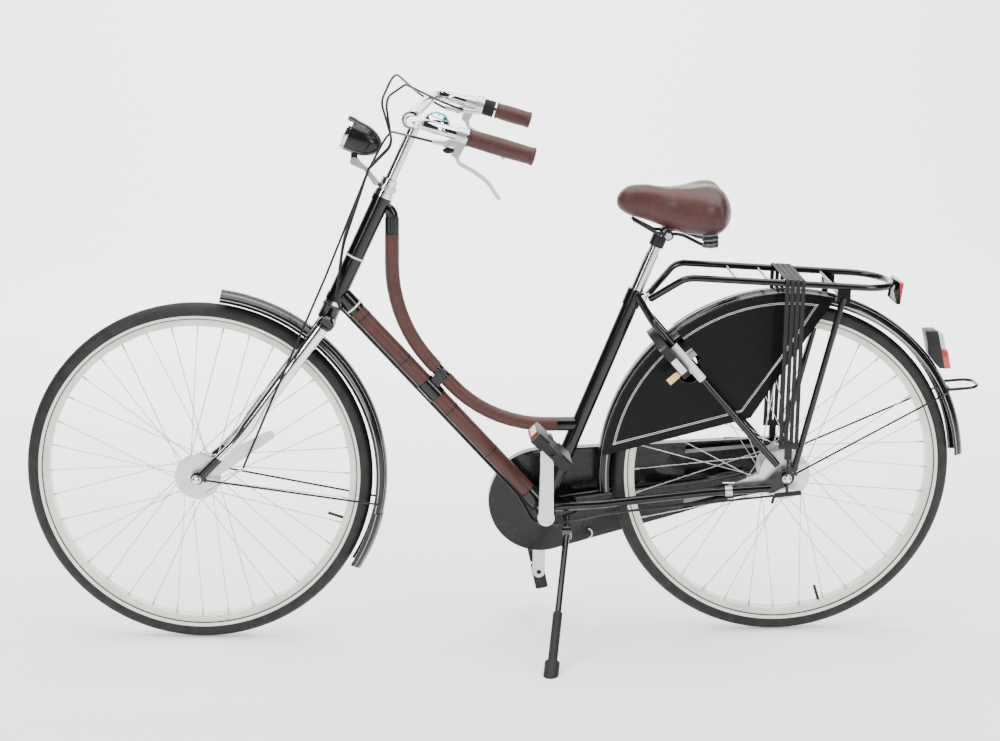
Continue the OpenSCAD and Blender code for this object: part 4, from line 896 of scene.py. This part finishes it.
softened("rack_reflector", [GLOSS_PLASTIC, RED_LENS], 1.2, 32, lambda p: int((REFLECTOR @ p).x > 5.2))
for node, hand, tilt in (("left_pedal", -1, 44), ("right_pedal", 1, 78)):
    own = inside(BB + V((0, 0, -hand * 165)), tilt)
    softened(node, [BLACK_PLASTIC, ORANGE_LENS, ALLOY], 1.0, 32,
             lambda p, own=own: 1 if abs((own @ p).x) > 45.15 else 2 if (own @ p).yz.length < 5.4 else 0)
for node, finish, width in (("crankset", ALLOY, 1.6), ("brake_perches", ALLOY, 1.2), ("rear_brake", ALLOY, 0.6),
                            ("front_brake", ALLOY, 0.6), ("headlight_bracket", STEEL, 0.8),
                            ("kickstand_bracket", ENAMEL, 1.0), ("chaincase", GLOSS_PLASTIC, 2.0),
                            ("left_brake_lever", ALLOY, 0.6), ("right_brake_lever", ALLOY, 0.6)):
    softened(node, finish, width)
softened("lock_body", [BLACK_PLASTIC, BRASS], 0.8, 32,
         lambda p: int((inside(LOCK_AT, -LOCK_ANGLE) @ p - V((0, 0, 14))).z > 9.05))
print("pieces with several finishes ready")

# %% [markdown]
# The rear light is a moulded housing that stands upright on the curved mudguard, so a
# plane along the mudguard trims its lower corner.  Its rear face holds a clear lens
# above a red one.
# %% Rear light
light_at = polar(REAR_HUB, 396, 38.8)
guard_out = (light_at - REAR_HUB).normalized()
LEANING = Matrix.Shear("XY", 4, (-0.24, 0.0))
lights = bmesh.new()
for centre, size, number in (((-4, 4), (26, 38, 78), 0), ((13, 22), (12, 34, 32), 2),
                             ((14, -16), (16, 36, 40), 1)):
    made = bmesh.ops.create_cube(lights, size=1.0, matrix=Matrix.Translation(light_at) @ LEANING
                                 @ Matrix.Translation((centre[0], 0, centre[1])) @ Matrix.Diagonal((*size, 1)))
    for face in {f for v in made["verts"] for f in v.link_faces}:
        face.material_index = number
bmesh.ops.bisect_plane(lights, geom=lights.verts[:] + lights.edges[:] + lights.faces[:],
                       plane_co=REAR_HUB + guard_out * (GUARD_R + 1), plane_no=guard_out,
                       clear_inner=True)
bmesh.ops.holes_fill(lights, edges=[e for e in lights.edges if e.is_boundary])
bmesh.ops.bevel(lights, geom=lights.edges[:], offset=2.2, segments=3, profile=0.5, affect="EDGES",
                material=-1, clamp_overlap=True)
keep("rear_light_housing", lights, [BLACK_PLASTIC, RED_LENS, CLEAR_LENS], STANDING, "frame", ["rear_light"],
     crease=50)
print("rear light ready")

# %% [markdown]
# Small things that the eye looks for: the pale band on the left seat stay, the white
# plate on the lock, the pale crescent on the chaincase, the seat clamp's bolt, the axle
# caps, the dark oval on the left lever's bracket and the wire loop of the mudguard.
# %% Small trim
trim = bmesh.new()
stay_top = SEAT_TOP + V((29, -41, -58))
stay_way = (REAR_HUB + V((-19, -66, 26)) - stay_top).normalized()
turned(trim, [(0, 7.6), (0, 8.7), (92, 8.7), (92, 7.6), (0, 7.6)], stay_top + stay_way * 62, stay_way, 24)
keep("stay_band", trim, WHITE_PLASTIC, STANDING, "frame")
badge = bmesh.new()
bmesh.ops.create_cube(badge, size=1.0, matrix=Matrix.Translation(LOCK_AT)
                      @ Matrix.Rotation(math.radians(-LOCK_ANGLE), 4, "Y")
                      @ Matrix.Translation((-6, -87.6, 14)) @ Matrix.Diagonal((34, 1.6, 14, 1)))
bmesh.ops.bevel(badge, geom=badge.edges[:], offset=0.6, segments=2, profile=0.5, affect="EDGES", material=-1,
                clamp_overlap=True)
keep("lock_plate", badge, WHITE_PLASTIC, STANDING, "frame")
crescent = bmesh.new()
turned(crescent, [(0, 9.5), (0, 12), (0.5, 12), (0.5, 9.5), (0, 9.5)], V((200.7, 40.4, 196)),
       V((0, -1, 0)), 24, 150.0, (0.3, 0, -1))
keep("case_crescent", crescent, WHITE_PLASTIC, STANDING, "frame")
NUT = [(0, 0), (0, 7), (4, 7), (6, 5), (6, 0)]
CAP = [(0, 0), (0, 6.0), (3, 7.0), (8, 7.0), (11, 4.5), (11.5, 0)]
bolt = bmesh.new()
turned(bolt, NUT, SEAT_TOP + V((12, -15, -14)), V((0, -1, 0)), 24, ref=(1, 0, 0))
turned(bolt, NUT, SEAT_TOP + V((12, 15, -14)), V((0, 1, 0)), 6, ref=(1, 0, 0))
for hand in (-1, 1):
    turned(bolt, CAP, REAR_HUB + V((0, hand * 76.6, 0)), V((0, hand, 0)), 24, ref=(1, 0, 0))
keep("bright_bolts", bolt, CHROME, STANDING, "frame", crease=25)
caps = bmesh.new()
for hand in (-1, 1):
    turned(caps, CAP, FRONT_HUB + V((0, hand * 64, 0)), V((0, hand, 0)), 24, ref=(1, 0, 0))
keep("front_axle_caps", caps, CHROME, STEERED, "steering", crease=25)
oval = bmesh.new()
oval_at = pin_at(-1) + V((-14, -9.0, 4))
turned(oval, [(0, 0), (0, 7), (1.6, 7), (2.2, 5.8), (2.2, 0)], oval_at, V((0, -1, 0)), 32, ref=(1, 0, 0))
bmesh.ops.scale(oval, vec=(1.5, 1, 0.8), verts=oval.verts, space=Matrix.Translation(-oval_at))
keep("lever_badge", oval, GLOSS_PLASTIC, STEERED, "steering")
loop_at = polar(REAR_HUB, GUARD_R + 1, 27.6)
loop = trail([loop_at + V(spot) for spot in ((-6, -33, -3), (60, -33, 2), (60, 33, 2), (-6, 33, -3))],
             [24, 24], 10)
tube("guard_loop", loop, 3.2, ENAMEL, "frame", STANDING)
print("trim ready")

# %% [markdown]
# Whatever no finer piece has replaced by now keeps its CAD shape and takes its finish.
# %% Dress the rest

for node, finish in PLAIN.items():
    if node not in REPLACED:
        smooth_copy(node, finish)
print("nodes stood for:", len(REPLACED))

# %% [markdown]
# A pale floor runs back into a pale wall with no corner; it is see-through from behind,
# so the wall hides nothing from the back.  Large soft lamps light the bicycle from
# above and from both sides, and two black cards give the chrome its dark streaks.
# %% Floor and light
stage = bmesh.new()
line = [(-9.0, 0.0)] + [(5.0 + 2.0 * math.sin(a), 2.0 - 2.0 * math.cos(a)) for a in
                        [math.radians(7.5 * k) for k in range(13)]] + [(7.0, 7.0)]
verts = [stage.verts.new((-14.0, y, z - 0.0006)) for y, z in line]
edges = [stage.edges.new(pair) for pair in zip(verts, verts[1:])]
swept = bmesh.ops.extrude_edge_only(stage, edges=edges)
bmesh.ops.translate(stage, vec=(28.0, 0, 0),
                    verts=[v for v in swept["geom"] if isinstance(v, bmesh.types.BMVert)])
bmesh.ops.recalc_face_normals(stage, faces=stage.faces)
stage.faces.ensure_lookup_table()
if stage.faces[0].normal.z < 0:
    bmesh.ops.reverse_faces(stage, faces=stage.faces)
for face in stage.faces:
    face.smooth = True
floor_data = bpy.data.meshes.new("floor")
stage.to_mesh(floor_data)
stage.free()
floor = bpy.data.objects.new("floor", floor_data)
bpy.context.scene.collection.objects.link(floor)
pale = Finish("pale_floor", (0.92, 0.92, 0.92), 0.7, Specular_IOR_Level=0.1, Emission_Strength=0.3)
pale.put("Base Color", pale.mix(pale.noise(1.2, 3.0) * 0.3, (0.94, 0.94, 0.94), (0.90, 0.90, 0.90)))
see_through = pale.tree.nodes.new("ShaderNodeBsdfTransparent")
facing = pale.tree.nodes.new("ShaderNodeNewGeometry")
either = pale.tree.nodes.new("ShaderNodeMixShader")
pale.tree.links.new(facing.outputs["Backfacing"], either.inputs[0])
pale.tree.links.new(pale.shader.outputs[0], either.inputs[1])
pale.tree.links.new(see_through.outputs[0], either.inputs[2])
pale.tree.links.new(either.outputs[0], pale.tree.nodes["Material Output"].inputs["Surface"])
floor_data.materials.append(pale.material)


def soft_lamp(name, place, aim, size, watts):
    lamp = bpy.data.objects.new(name, bpy.data.lights.new(name, "AREA"))
    lamp.data.shape, lamp.data.size, lamp.data.size_y = "RECTANGLE", *size
    lamp.data.energy = watts
    way = (Vector(aim) - Vector(place)).normalized()
    lamp.matrix_world = Matrix.Translation(place) @ way.to_track_quat("-Z", "Y").to_matrix().to_4x4()
    bpy.context.scene.collection.objects.link(lamp)


def dark_card(name, x, y, turn_by):
    """A black card beside the camera, seen only in the chrome."""
    card = bmesh.new()
    bmesh.ops.create_grid(card, x_segments=1, y_segments=1, size=1.0, matrix=Matrix.Translation((x, y, 1.2))
                          @ Matrix.Rotation(turn_by, 4, "Z") @ Matrix.Rotation(math.pi / 2, 4, "X")
                          @ Matrix.Diagonal((0.55, 1.1, 1, 1)))
    data = bpy.data.meshes.new(name)
    card.to_mesh(data)
    card.free()
    data.materials.append(BLACK_PLASTIC.material)
    piece = bpy.data.objects.new(name, data)
    bpy.context.scene.collection.objects.link(piece)
    piece.visible_camera = False
    piece.visible_shadow = False


dark_card("left_card", -1.45, -2.0, 0.5)
dark_card("right_card", 1.45, -2.0, -0.5)
soft_lamp("top_lamp", (0, -0.2, 4.2), (0, 0.4, 0.0), (5.5, 4.0), 430)
soft_lamp("left_lamp", (-2.6, -3.2, 2.2), (0, 0, 0.6), (1.4, 2.4), 120)
soft_lamp("right_lamp", (2.8, -2.6, 1.8), (0.2, 0, 0.6), (1.2, 2.4), 90)
soft_lamp("back_lamp", (0, 3.0, 4.6), (0, 6.6, 1.4), (8.0, 1.5), 1000)
world = bpy.data.worlds.new("studio")
bpy.context.scene.world = world
world.use_nodes = True
world.node_tree.nodes["Background"].inputs[0].default_value = (0.93, 0.95, 1.0, 1.0)
world.node_tree.nodes["Background"].inputs[1].default_value = 0.05
print("studio lit")
